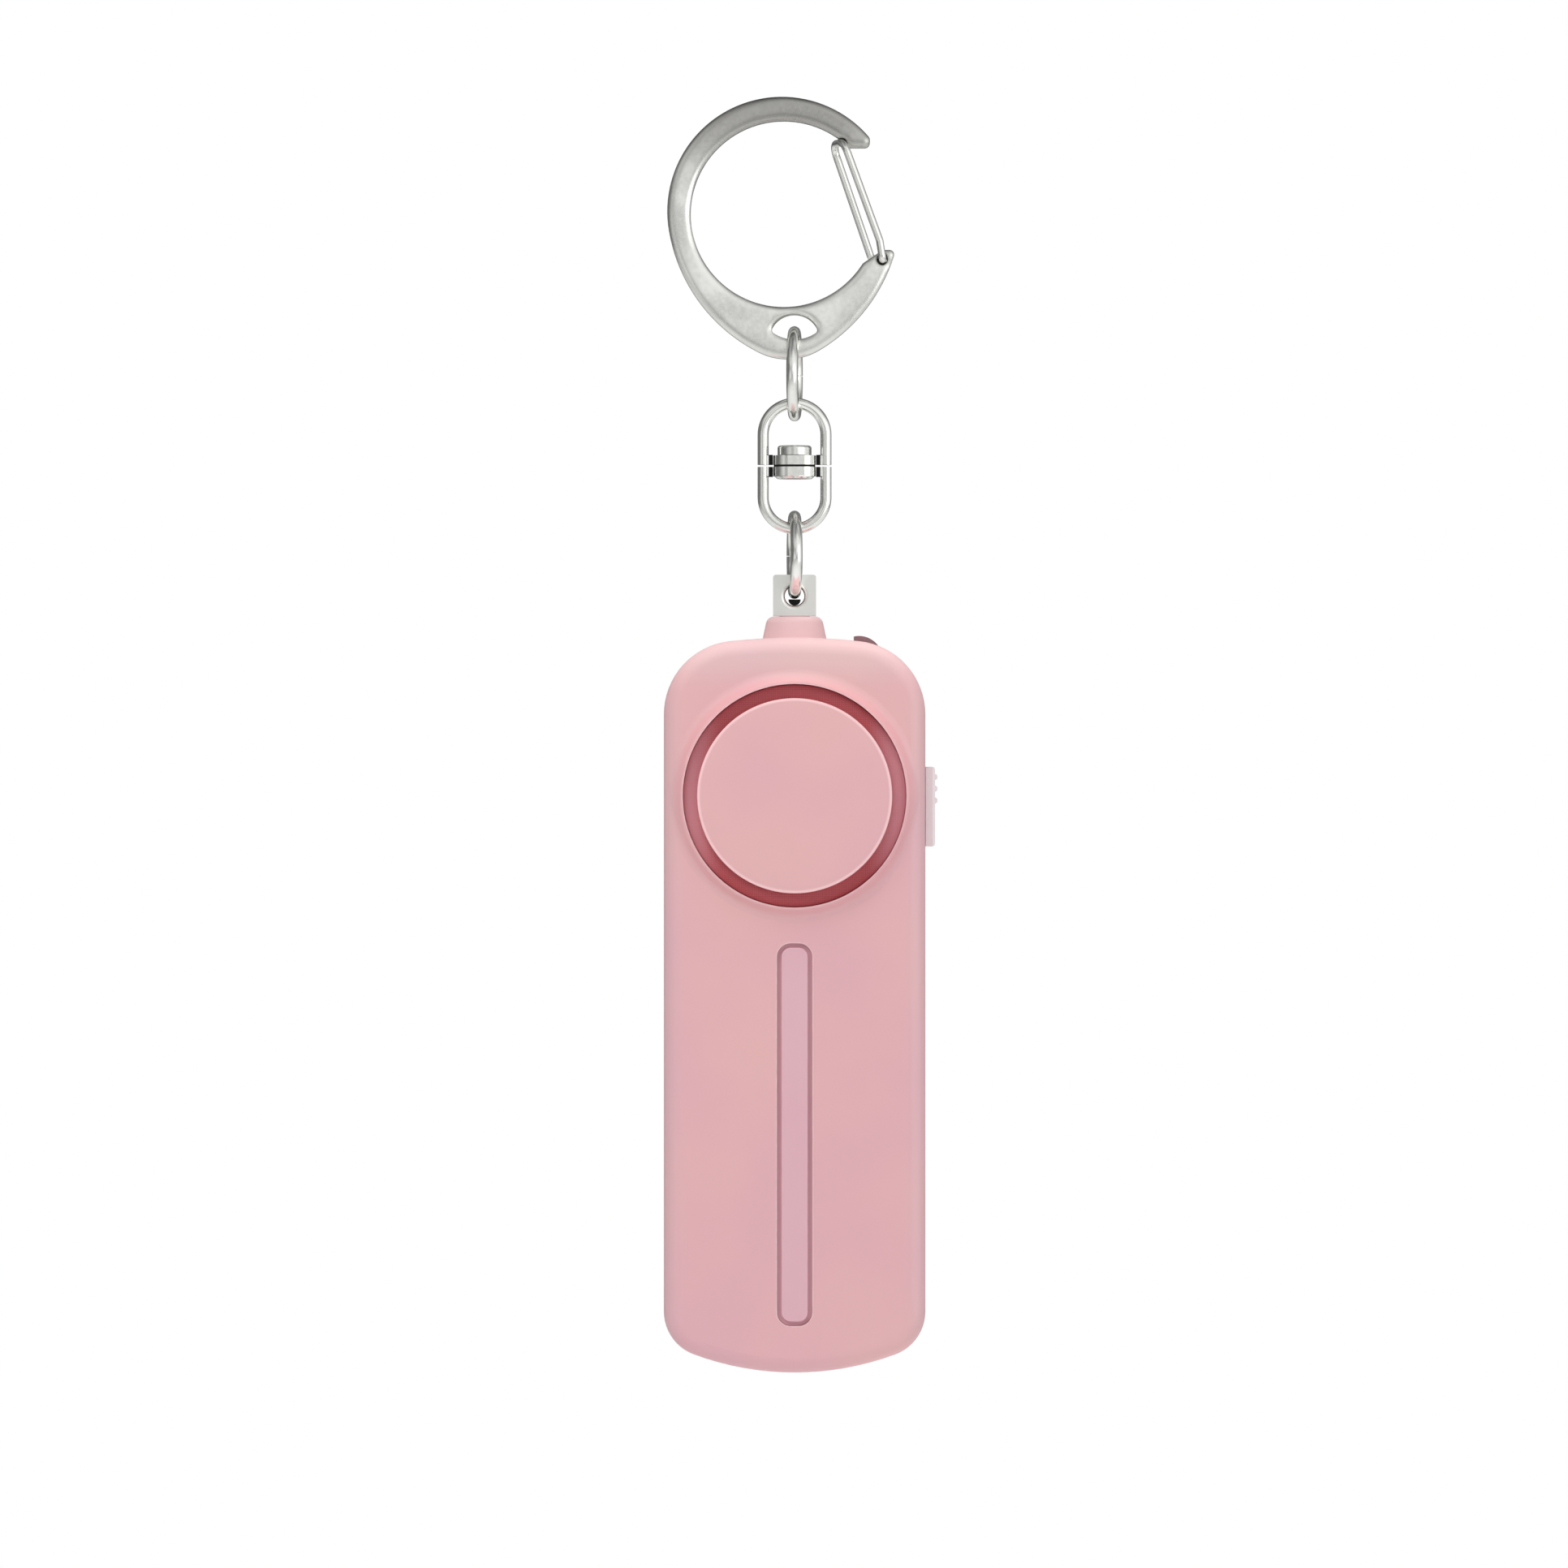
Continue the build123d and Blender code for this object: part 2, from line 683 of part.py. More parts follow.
def battery_door():
    """Door that slides off over the bottom end, with a tongue along each side."""
    door = half_case(back_y) & door_space(0, slide_gap / 2, -door_top - slide_gap)
    for index in range(door_grip_ribs):
        z = -door_grip_drop - index * door_grip_pitch
        groove = block(-door_grip_half_length, door_grip_half_length, back_y - door_grip_proud,
                       back_y + overrun, z - door_grip_width / 2, z + door_grip_width / 2)
        door -= groove
    return door


def case_screws():
    """Four screws that go in from the back."""
    seat = back_y - screw_head_sink
    screws = []
    for x, z in screw_places():
        head = rod_y(x, z, screw_head_r, seat, seat + screw_head)
        cross = screw_head_r * 0.6
        for wide, tall in ((cross, screw_head_r / 8), (screw_head_r / 8, cross)):
            head -= block(x - wide, x + wide, seat + screw_head / 2, seat + screw_head + overrun,
                          z - tall, z + tall)
        screws.append(head + rod_y(x, z, screw_r, seat - screw_length, seat))
    return Compound(children=screws)


def pin_collar():
    """Flared collar round the pin, its neck in the case's top wall and a flange inside."""
    half_slope = (collar_base_r - collar_top_r) / collar_height
    foot_r = collar_base_r + half_slope * collar_sink
    profile = FilletPolyline(
        (0, collar_height), (collar_top_r, collar_height), (foot_r, -collar_sink), (0, -collar_sink),
        radius=[collar_round, 0],
    )
    face = make_face([profile, Line((0, -collar_sink), (0, collar_height))])
    collar = revolve(Plane.XZ * face, Axis.Z)
    collar -= slab(0, front_y, back_y)
    flange_top = -wall - collar_flange_r ** 2 / (2 * (crown_top_r - wall)) - fit_gap
    collar += rod_z(0, 0, collar_neck_r, flange_top, collar_round)
    collar += rod_z(0, 0, collar_flange_r, flange_top - collar_flange, flange_top)
    width = stem_width / 2 + slide_gap
    depth = stem_thickness / 2 + slide_gap
    return collar - block(-width, width, -depth, depth, -wall * 3, collar_height + overrun)


def speaker_cap():
    """Round cover over the buzzer, with a gap round it that lets the sound out."""
    back = mesh_seat - mesh_thickness
    cap = rod_y(0, -speaker_drop, cap_r, boss_y, back)
    cap = fillet(cap.edges().filter_by(GeomType.CIRCLE).sort_by(Axis.Y)[0], cap_round)
    return cap + rod_y(0, -speaker_drop, cap_r - mesh_clamp - fit_gap, back, mesh_seat)


def sound_mesh_ring():
    """Dark ring of fine mesh at the bottom of the gap round the cover."""
    front = mesh_seat - mesh_thickness
    ring = rod_y(0, -speaker_drop, groove_outer_r - fit_gap, front, mesh_seat)
    return ring - rod_y(0, -speaker_drop, cap_r - mesh_clamp, front - overrun, mesh_seat + overrun)


def inlay_bar():
    """Narrow bar let into the front, with a fine groove left round it."""
    foot_front = front_y + bar_pocket_depth - bar_foot
    foot = rounded_bar(bar_pocket_width - fit_gap * 2, bar_length + bar_groove - fit_gap * 2,
                       bar_corner, foot_front, front_y + bar_pocket_depth)
    bar = rounded_bar(bar_pocket_width - bar_groove * 2, bar_length - bar_groove,
                      bar_corner - bar_groove, front_y, foot_front)
    rim = bar.edges().group_by(Axis.Y)[0]
    return foot + chamfer(rim, bar_groove / 5)


def lamp_window():
    """Small dark window for the lamp, level on its left and falling with the shoulder."""
    left_top = (lamp_left_x, lamp_rise)
    right_top = (lamp_right_x, -lamp_right_drop)
    middle = ((lamp_left_x + lamp_right_x) / 2, lamp_mid_rise)
    face = make_face([
        ThreePointArc(left_top, middle, right_top),
        Line(right_top, (lamp_right_x, -lamp_root)),
        Line((lamp_right_x, -lamp_root), (lamp_left_x, -lamp_root)),
        Line((lamp_left_x, -lamp_root), left_top),
    ])
    return upright(face, -lamp_depth / 2, lamp_depth / 2)


def lamp_led():
    """Lamp under its window, with two legs to the circuit board."""
    x = (lamp_left_x + lamp_right_x) / 2
    top, bottom = -lamp_root, -lamp_root - led_length
    led = rod_z(x, 0, led_r, bottom, top)
    board_x = board_tongue_half - led_leg
    for side in (-1, 1):
        y = side * led_leg_pitch / 2
        level = bottom - led_leg / 2
        lane = board_x - (1 - side) * led_leg
        led += block(lane, x + led_leg / 2, y - led_leg / 2, y + led_leg / 2, level, level + led_leg)
        led += block(lane, lane + led_leg, y - led_leg / 2, board_y, level, level + led_leg)
    return led


def switch_span():
    """Top and bottom of the switch cap, and the middle height of its stem."""
    top = -switch_drop
    return top, top - switch_length, top - switch_length / 2


def switch_cap():
    top, bottom, middle = switch_span()
    inner = half_width + slide_gap
    outer = half_width + switch_proud
    half = switch_depth / 2
    cap = block(inner, outer, -half, half, bottom, top)
    cap = fillet([edge for edge in cap.edges() if edge.center().X > outer - slide_gap], switch_round)
    for index in range(ridge_count):
        z = top - ridge_first_drop - index * ridge_pitch
        ridge = rod_y(outer - ridge_width / 2 + ridge_proud, z, ridge_width / 2, -half * 0.8, half * 0.8)
        cap += ridge
    stem = switch_stem_length / 2
    reach = switch_stem_depth / 2
    return cap + block(half_width - wall - slide_gap, inner, -reach, reach, middle - stem, middle + stem)


def switch_slider():
    """Small lever of the slide switch, pushed by the cap's stem."""
    middle = switch_span()[2]
    outer = half_width - wall - slide_gap
    inner = outer - slider_reach - (outer - board_half_width)
    return block(inner, outer, -slider_depth / 2, slider_depth / 2,
                 middle - slider_length / 2, middle + slider_length / 2)


def slide_switch_body():
    """Body of the slide switch, soldered to the circuit board."""
    middle = switch_span()[2] - switch_travel / 2
    outer = half_width - wall - switch_body_gap
    inner = outer - switch_body_width
    half = switch_body_length / 2
    reach = (slider_length + switch_travel) / 2 + slide_gap
    slider_inner = board_half_width - slider_reach
    depth = slider_depth / 2 + slide_gap
    body = block(inner, outer, -depth - switch_can, board_y, middle - half, middle + half)
    return body - block(slider_inner - slide_gap, outer + overrun, -depth, depth,
                        middle - reach, middle + reach)


def buzzer_holder():
    """Ring behind the front wall in which the buzzer plate is seated."""
    back = floor_back + buzzer_holder_depth
    holder = rod_y(0, -speaker_drop, buzzer_holder_r, floor_back, back)
    holder -= rod_y(0, -speaker_drop, buzzer_holder_r - buzzer_holder_wall,
                    floor_back - overrun, back + overrun)
    return holder - rod_y(0, -speaker_drop, buzzer_plate_r + fit_gap,
                          floor_back + buzzer_front_room, back + overrun)


def buzzer_plate():
    front = floor_back + buzzer_front_room
    return rod_y(0, -speaker_drop, buzzer_plate_r, front, front + buzzer_plate_thickness)


def buzzer_ceramic():
    front = floor_back + buzzer_front_room + buzzer_plate_thickness
    return rod_y(0, -speaker_drop, buzzer_ceramic_r, front, front + buzzer_ceramic_thickness)


def buzzer_pins():
    """Two sprung pins from the circuit board to the buzzer plate."""
    front = floor_back + buzzer_front_room + buzzer_plate_thickness
    pins = [rod_y(side * buzzer_pin_x, -speaker_drop - buzzer_pin_z, buzzer_pin_r, front, board_y)
            for side in (-1, 1)]
    return Compound(children=pins)


def circuit_board():
    back = board_y + board_thickness
    board = block(-board_half_width, board_half_width, board_y, back,
                  -board_wide_bottom, -board_wide_top)
    board += block(-board_tongue_half, board_tongue_half, board_y, back, -board_bottom, -board_top)
    for side in (-1, 1):
        board -= rod_y(side * board_post_x, -board_post_drop, board_screw_r + fit_gap,
                       board_y - overrun, back + overrun)
    return board


def board_screws():
    screws = []
    for side in (-1, 1):
        head = rod_y(side * board_post_x, -board_post_drop, board_screw_head_r,
                     board_y - board_screw_head, board_y)
        screws.append(head + rod_y(side * board_post_x, -board_post_drop, board_screw_r,
                                   board_y, board_y + board_screw_length))
    return Compound(children=screws)


def controller_chip():
    back = board_y + board_thickness
    return block(chip_x - chip_width / 2, chip_x + chip_width / 2, back, back + chip_height,
                 -chip_drop - chip_length / 2, -chip_drop + chip_length / 2)


def boost_coil():
    coil = rod_y(coil_x, -coil_drop, coil_r, board_y - coil_height, board_y)
    waist = rod_y(coil_x, -coil_drop, coil_r + overrun, board_y - coil_height * 0.8,
                  board_y - coil_height * 0.2)
    return coil - (waist - rod_y(coil_x, -coil_drop, coil_r * 0.8, board_y - coil_height, board_y))


def contact_block():
    """Block on the circuit board that guides the pin and holds the two contact leaves."""
    guide = block(-block_half_width, block_half_width, -block_front, board_y,
                  -block_bottom, -block_top)
    width, depth = stem_width / 2 + slide_gap, stem_thickness / 2 + slide_gap
    tip = collar_height - stem_length - tip_length
    guide -= block(-width, width, -depth, depth, tip - slide_gap * 2, 0)
    leaf_outer = stem_width / 2 + leaf_gap + leaf_thickness + fit_gap
    half = leaf_depth / 2 + fit_gap
    top, bottom = leaf_levels()
    guide -= block(-leaf_outer, leaf_outer, -half, board_y + overrun, bottom - fit_gap, top + fit_gap)
    return guide


def leaf_levels():
    """Top and bottom of the contact leaves, level with the pin's plastic tip."""
    top = collar_height - stem_length
    return top, top - leaf_length


def contact_leaf(side):
    """Bent strip beside the pin's tip, with a foot on the circuit board."""
    top, bottom = leaf_levels()
    inner = stem_width / 2 + leaf_gap
    leaf = block(inner, inner + leaf_thickness, -leaf_depth / 2, board_y, bottom, top)
    return leaf if side > 0 else mirror(leaf, Plane.YZ)


def battery_tray():
    """Tray for the cells, open at the back under the door."""
    bottom = -body_length
    tray = block(-tray_half_width, tray_half_width, inner_front, inner_back - tray_gap,
                 bottom, -tray_top) & slab(wall + tray_gap, inner_front, inner_back)
    bay_half = tray_half_width - tray_wall
    tray -= (block(-bay_half, bay_half, inner_front + tray_wall, back_y, bottom, -tray_top - tray_wall)
             & slab(wall + tray_gap + tray_wall, inner_front, back_y))
    for side in (-1, 1):
        x = side * solder_tab_x
        reach = solder_tab_width / 2 + fit_gap
        tray -= block(x - reach, x + reach, board_y - plate_thickness - fit_gap, board_y + fit_gap,
                      -tray_top - tray_wall - fit_gap, -tray_top + fit_gap)
        tray -= rod_z(side * cell_pitch / 2, cell_y, cell_r + slide_gap, cell_bottom, cell_top)
    return tray


def battery_cell(side):
    """AAA cell. The left one stands with its plus end up, the right one with it down."""
    x = side * cell_pitch / 2
    if side < 0:
        return (rod_z(x, cell_y, cell_r, cell_bottom, cell_top - cell_nub)
                + rod_z(x, cell_y, cell_nub_r, cell_top - cell_nub, cell_top))
    return (rod_z(x, cell_y, cell_r, cell_bottom + cell_nub, cell_top)
            + rod_z(x, cell_y, cell_nub_r, cell_bottom, cell_bottom + cell_nub))


def upper_plate(side):
    """Contact plate at the top of the bay, with a tab to the circuit board."""
    top = -tray_top - tray_wall
    x = side * cell_pitch / 2
    plate = block(x - plate_half_width, x + plate_half_width, -plate_depth / 2, plate_depth / 2,
                  top - plate_thickness, top)
    tab_x = side * solder_tab_x
    half = solder_tab_width / 2
    plate += block(tab_x - half, tab_x + half, board_y - plate_thickness, board_y,
                   top - plate_thickness, -solder_tab_top)
    return plate


def battery_plus_plate():
    button = rod_z(-cell_pitch / 2, cell_y, button_r, cell_top + fit_gap, -tray_top - tray_wall)
    return upper_plate(-1) + button


def battery_minus_plate():
    return upper_plate(1)


def battery_link_plate():
    """Plate that joins the two cells at the bottom of the bay."""
    plate = block(-link_half_width, link_half_width, -plate_depth / 2, plate_depth / 2,
                  link_top - plate_thickness, link_top)
    return plate + rod_z(cell_pitch / 2, cell_y, button_r, link_top, cell_bottom - fit_gap)


def battery_spring(x, root, tip):
    """Cone-shaped spring, pressed almost flat between its plate and the cell."""
    height = abs(tip - root)
    cone = Cone(spring_root_r, spring_top_r, height)
    cone -= Cone(spring_root_r - spring_wire, spring_top_r - spring_wire, height + fit_gap)
    if tip < root:
        cone = Rot(180, 0, 0) * cone
    return Pos(x, cell_y, (root + tip) / 2) * cone


def battery_springs():
    upper = battery_spring(cell_pitch / 2, cell_top + spring_room_top, cell_top)
    lower = battery_spring(-cell_pitch / 2, link_top, cell_bottom)
    return Compound(children=[upper, lower])


chain_nodes = {
    "snap_hook": snap_hook,
    "hook_gate": hook_gate,
    "upper_link_ring": lambda: link_ring(upper_ring_top, upper_ring_outer),
    "swivel_upper_loop": swivel_upper_loop,
    "swivel_lower_loop": swivel_lower_loop,
    "swivel_rivet": swivel_rivet,
    "lower_link_ring": lambda: link_ring(lower_ring_top, lower_ring_outer),
    "pin_tab": pin_tab,
    "pin_insulator_tip": pin_insulator_tip,
}

housing_nodes = {
    "front_shell": front_shell,
    "rear_shell": rear_shell,
    "battery_door": battery_door,
    "case_screws": case_screws,
    "pin_collar": pin_collar,
    "speaker_cap": speaker_cap,
    "sound_mesh_ring": sound_mesh_ring,
    "inlay_bar": inlay_bar,
    "lamp_window": lamp_window,
    "lamp_led": lamp_led,
    "switch_cap": switch_cap,
    "switch_slider": switch_slider,
    "slide_switch_body": slide_switch_body,
    "buzzer_holder": buzzer_holder,
    "buzzer_plate": buzzer_plate,
    "buzzer_ceramic": buzzer_ceramic,
    "buzzer_pins": buzzer_pins,
    "circuit_board": circuit_board,
    "board_screws": board_screws,
    "controller_chip": controller_chip,
    "boost_coil": boost_coil,
    "contact_block": contact_block,
    "contact_leaf_left": lambda: contact_leaf(-1),
    "contact_leaf_right": lambda: contact_leaf(1),
    "battery_tray": battery_tray,
    "battery_cell_left": lambda: battery_cell(-1),
    "battery_cell_right": lambda: battery_cell(1),
    "battery_plus_plate": battery_plus_plate,
    "battery_minus_plate": battery_minus_plate,
    "battery_link_plate": battery_link_plate,
    "battery_springs": battery_springs,
}


def build():
    os.makedirs("parts", exist_ok=True)
    for name, make in chain_nodes.items():
        export_step(make(), f"parts/{name}.step")
    for name, make in housing_nodes.items():
        export_step(Pos(0, 0, body_top) * make(), f"parts/{name}.step")


build()
print("heights: hook bottom", round(hook_bottom, 2), "eye floor", round(eye_floor, 2),
      "swivel", round(swivel_top, 2), round(swivel_split, 2), round(swivel_bottom, 2))
print("lower ring floor", round(lower_ring_floor, 2), "tab top", round(tab_top, 2),
      "collar top", round(collar_top, 2), "body top", round(body_top, 2))
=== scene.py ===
# %% [markdown]
# # A pocket alarm that hangs from a snap hook
# The alarm is a pink plastic case with a round sounder, hung by its pull pin from a
# chain of plated metal. The solids come from the CAD model. Here they get their
# finishes, and the pieces whose looks need more than a plain solid are modelled again.

# %% Load the CAD frame
import json
import math
import bmesh
import bpy
from mathutils import Matrix, Vector


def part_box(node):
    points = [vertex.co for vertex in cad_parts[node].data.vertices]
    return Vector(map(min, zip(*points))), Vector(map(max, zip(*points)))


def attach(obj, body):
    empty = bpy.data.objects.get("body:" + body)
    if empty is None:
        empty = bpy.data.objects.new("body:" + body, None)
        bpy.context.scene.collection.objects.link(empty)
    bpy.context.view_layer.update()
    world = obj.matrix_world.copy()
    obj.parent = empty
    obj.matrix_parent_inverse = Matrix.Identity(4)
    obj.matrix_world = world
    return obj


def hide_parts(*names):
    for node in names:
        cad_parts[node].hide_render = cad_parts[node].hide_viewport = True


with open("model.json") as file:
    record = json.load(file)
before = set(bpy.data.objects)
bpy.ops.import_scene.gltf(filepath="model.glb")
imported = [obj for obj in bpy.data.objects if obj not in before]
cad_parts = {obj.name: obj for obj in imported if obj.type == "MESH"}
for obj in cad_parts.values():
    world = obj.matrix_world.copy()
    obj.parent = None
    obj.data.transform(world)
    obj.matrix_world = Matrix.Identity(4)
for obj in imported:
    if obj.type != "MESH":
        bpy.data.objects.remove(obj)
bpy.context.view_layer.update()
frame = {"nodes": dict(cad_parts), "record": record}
print("CAD nodes:", len(frame["nodes"]))

# %% [markdown]
# ## The camera
# The photograph looks straight at the sounder, with no tilt, and 1932 pixels of it are
# 184.6 mm wide. A camera one metre away with a long lens keeps the perspective as flat
# as it is there. The middle of the picture lies just left of the chain.

# %% Camera
MM = 0.001
view_centre = Vector((-1.24, 0, -77.98)) * MM
camera_data = bpy.data.cameras.new("front_camera")
camera_data.lens = 195
camera_data.sensor_width = 36
camera = bpy.data.objects.new("front_camera", camera_data)
camera.location = view_centre + Vector((0, -1, 0))
camera.rotation_euler = (math.radians(90), 0, 0)
bpy.context.collection.objects.link(camera)
bpy.context.scene.camera = camera
bpy.context.scene.view_settings.view_transform = "Standard"
print("camera at", tuple(round(v, 3) for v in camera.location))

# %% [markdown]
# ## Helpers for node trees
# A node needs its settings, values and links, and a blend of two colours needs several of
# them. These functions say each in one line. Colours are written as a picture editor
# shows them.


# %% Node helpers
def srgb(red, green, blue):
    """A colour as a picture editor gives it, 0 to 255, turned into scene values."""
    def linear(value):
        value /= 255
        return value / 12.92 if value <= 0.04045 else ((value + 0.055) / 1.055) ** 2.4
    return (linear(red), linear(green), linear(blue), 1)


def add(tree, kind, links=None, values=None, **settings):
    """A node with its settings, plain values and incoming links in one go."""
    node = tree.nodes.new("ShaderNode" + kind)
    for key, value in settings.items():
        setattr(node, key, value)
    for key, value in (values or {}).items():
        node.inputs[key].default_value = value
    for key, source in (links or {}).items():
        tree.links.new(source, node.inputs[key])
    return node


def mix_colour(tree, factor, first, second):
    """Blends two colours, each a socket or a plain colour, and gives the blend's socket."""
    node = add(tree, "Mix", data_type="RGBA")
    sockets = {socket.identifier: socket for socket in node.inputs}
    tree.links.new(factor, sockets["Factor_Float"])
    for value, key in ((first, "A_Color"), (second, "B_Color")):
        if isinstance(value, tuple):
            sockets[key].default_value = value
        else:
            tree.links.new(value, sockets[key])
    return next(socket for socket in node.outputs if socket.identifier == "Result_Color")


print("helpers ready")

# %% [markdown]
# ## The studio
# Plated metal has no colour of its own and shows the room. A room that is pale behind
# the camera and to the right, and darker behind the object and to the left, gives it the
# light faces and grey edges of the photograph, and a few soft patches stand for what a
# real room holds. Only shiny surfaces see that room. Everything else gets a plain even
# level of light from the world, and the camera sees a white backdrop.

# %% World
world = bpy.data.worlds.new("studio")
bpy.context.scene.world = world
world.use_nodes = True
sky = world.node_tree
sky.nodes.clear()
path = add(sky, "LightPath")
direction = add(sky, "TexCoord")
away = add(sky, "VectorMath", {0: direction.outputs["Generated"]}, {1: (-0.45, 0.85, 0.27)},
           operation="DOT_PRODUCT")
behind = add(sky, "MapRange", {"Value": away.outputs["Value"]},
             {"From Min": -0.85, "From Max": 0.75, "To Min": 1.0, "To Max": 0.2},
             interpolation_type="SMOOTHSTEP")
clutter = add(sky, "TexNoise", {"Vector": direction.outputs["Generated"]},
              {"Scale": 1.6, "Detail": 1.0, "Roughness": 0.4})
patches = add(sky, "MapRange", {"Value": clutter.outputs["Fac"]},
              {"From Min": 0.36, "From Max": 0.5, "To Min": 0.42, "To Max": 1.0})
shown = add(sky, "Math", {0: behind.outputs["Result"], 1: patches.outputs["Result"]},
            operation="MULTIPLY")
room = mix_colour(sky, path.outputs["Is Glossy Ray"], (1, 1, 1, 1), shown.outputs[0])
seen = add(sky, "Math", {0: path.outputs["Is Camera Ray"], 1: path.outputs["Is Transmission Ray"]},
           operation="MAXIMUM")
seen = add(sky, "Math", {0: seen.outputs[0], 1: path.outputs["Is Glossy Ray"]}, operation="MAXIMUM")
light = add(sky, "Background", values={"Color": (1, 0.995, 0.99, 1), "Strength": 0.46})
backdrop = add(sky, "Background", {"Color": room})
choose = add(sky, "MixShader", {0: seen.outputs[0], 1: light.outputs[0], 2: backdrop.outputs[0]})
add(sky, "OutputWorld", {"Surface": choose.outputs[0]})
print("world nodes:", len(sky.nodes))

# %% [markdown]
# Three large soft lamps shape the case: a key from the upper left, a wide fill from the
# right and a top lamp. The metal mirrors only the fill, because the highlights of the
# photograph all face that way. The other two would wash out the hook's rims.


# %% Lamps
def soft_lamp(name, place, size, power, shows=False):
    """A square lamp that looks at the middle of the object. shows: the metal mirrors it."""
    data = bpy.data.lights.new(name, "AREA")
    data.size = size
    data.energy = power
    lamp = bpy.data.objects.new(name, data)
    lamp.location = place
    lamp.rotation_euler = (view_centre - Vector(place)).to_track_quat("-Z", "Y").to_euler()
    lamp.visible_glossy = shows
    bpy.context.collection.objects.link(lamp)


soft_lamp("key", (-0.2, -0.3, 0.3), 0.4, 1.35)
soft_lamp("fill", (0.7, -0.65, -0.1), 0.7, 1.9, shows=True)
soft_lamp("top", (0.1, 0.05, 0.6), 0.6, 3.6)

# %% [markdown]
# ## The floor
# The object hangs, so the floor lies well below it. It is a plain pale disc, wide enough
# to catch the shadow and too far down to show in the front view.

# %% Floor
disc = bmesh.new()
bmesh.ops.create_circle(disc, cap_ends=True, segments=96, radius=1.2)
bmesh.ops.translate(disc, verts=disc.verts, vec=(0, 0, -0.3))
floor_data = bpy.data.meshes.new("pale_floor")
disc.to_mesh(floor_data)
disc.free()
floor = bpy.data.objects.new("pale_floor", floor_data)
bpy.context.collection.objects.link(floor)
floor_paint = bpy.data.materials.new("floor_paint")
floor_paint.use_nodes = True
paint = floor_paint.node_tree.nodes["Principled BSDF"]
paint.inputs["Base Color"].default_value = (0.9, 0.9, 0.9, 1)
paint.inputs["Roughness"].default_value = 0.7
floor_data.materials.append(floor_paint)
print("floor faces:", len(floor_data.polygons))

# %% [markdown]
# ## Effects that several finishes share
# Each effect is a node group, built once. It takes the place on the piece as a vector
# and gives back colours, masks and heights. The shaders stay in the materials.


# %% Group helper
def new_group(name, inputs, outputs):
    """An empty node group with named sockets. A None input is a vector."""
    group = bpy.data.node_groups.new(name, "ShaderNodeTree")
    for label, value in inputs.items():
        kind = ("NodeSocketVector" if value is None
                else "NodeSocketColor" if isinstance(value, tuple) else "NodeSocketFloat")
        socket = group.interface.new_socket(name=label, in_out="INPUT", socket_type=kind)
        if value is not None:
            socket.default_value = value
    for label, kind in outputs.items():
        group.interface.new_socket(name=label, in_out="OUTPUT", socket_type="NodeSocket" + kind)
    given = group.nodes.new("NodeGroupInput").outputs
    return group, given, group.nodes.new("NodeGroupOutput").inputs


def put_out(group, target, **sources):
    """Joins the sockets that the group hands out."""
    for label, source in sources.items():
        group.links.new(source, target[label])
    print(group.name + ":", len(group.nodes), "nodes")


print("group helpers ready")

# %% [markdown]
# Moulded plastic isn't one flat colour: the pigment drifts a little warmer and cooler
# over the case, and the mould leaves a very fine grain. Two noises make that, one
# broad for the drift and one fine for the grain and its uneven gloss.

# %% Moulded skin
skin, given, result = new_group(
    "moulded_skin",
    {"Place": None, "Warm": (1.0, 1.0, 1.0, 1), "Cool": (1.0, 1.0, 1.0, 1), "Drift size": 60.0,
     "Grain size": 5000.0, "Gloss low": 0.4, "Gloss high": 0.5},
    {"Color": "Color", "Roughness": "Float", "Height": "Float"})
drift = add(skin, "TexNoise", {"Vector": given["Place"], "Scale": given["Drift size"]},
            {"Detail": 2.0, "Roughness": 0.45})
spread = add(skin, "MapRange", {"Value": drift.outputs["Fac"]}, {"From Min": 0.3, "From Max": 0.7},
             interpolation_type="SMOOTHSTEP")
grain = add(skin, "TexNoise", {"Vector": given["Place"], "Scale": given["Grain size"]},
            {"Detail": 3.0, "Roughness": 0.6})
gloss = add(skin, "MapRange", {"Value": drift.outputs["Fac"], "To Min": given["Gloss low"],
                               "To Max": given["Gloss high"]}, {"From Min": 0.3, "From Max": 0.7})
put_out(skin, result,
        Color=mix_colour(skin, spread.outputs["Result"], given["Warm"], given["Cool"]),
        Roughness=gloss.outputs["Result"], Height=grain.outputs["Fac"])

# %% [markdown]
# Handling polishes the edges of a piece. The Bevel node gives the direction that a
# surface would have if its edges were rounder, and where this differs from the real
# one there is an edge. That works on any mesh, however its triangles lie. On the pink
# case the pale edges that this mask gives are partly a painted highlight on its rims.

# %% Worn edges
edges, given, result = new_group(
    "worn_and_sheen_edge", {"Place": None, "Reach": 0.0003, "Break size": 900.0}, {"Mask": "Float"})
rounded = add(edges, "Bevel", {"Radius": given["Reach"]}, samples=4)
surface = add(edges, "NewGeometry")
alike = add(edges, "VectorMath", {0: rounded.outputs["Normal"], 1: surface.outputs["Normal"]},
            operation="DOT_PRODUCT")
edge = add(edges, "MapRange", {"Value": alike.outputs["Value"]},
           {"From Min": 0.995, "From Max": 0.86})
broken = add(edges, "TexNoise", {"Vector": given["Place"], "Scale": given["Break size"]},
             {"Detail": 3.0})
uneven = add(edges, "MapRange", {"Value": broken.outputs["Fac"]},
             {"From Min": 0.35, "From Max": 0.6, "To Min": 0.45})
worn_and_lit = add(edges, "Math", {0: edge.outputs["Result"], 1: uneven.outputs["Result"]},
           operation="MULTIPLY")
put_out(edges, result, Mask=worn_and_lit.outputs[0])
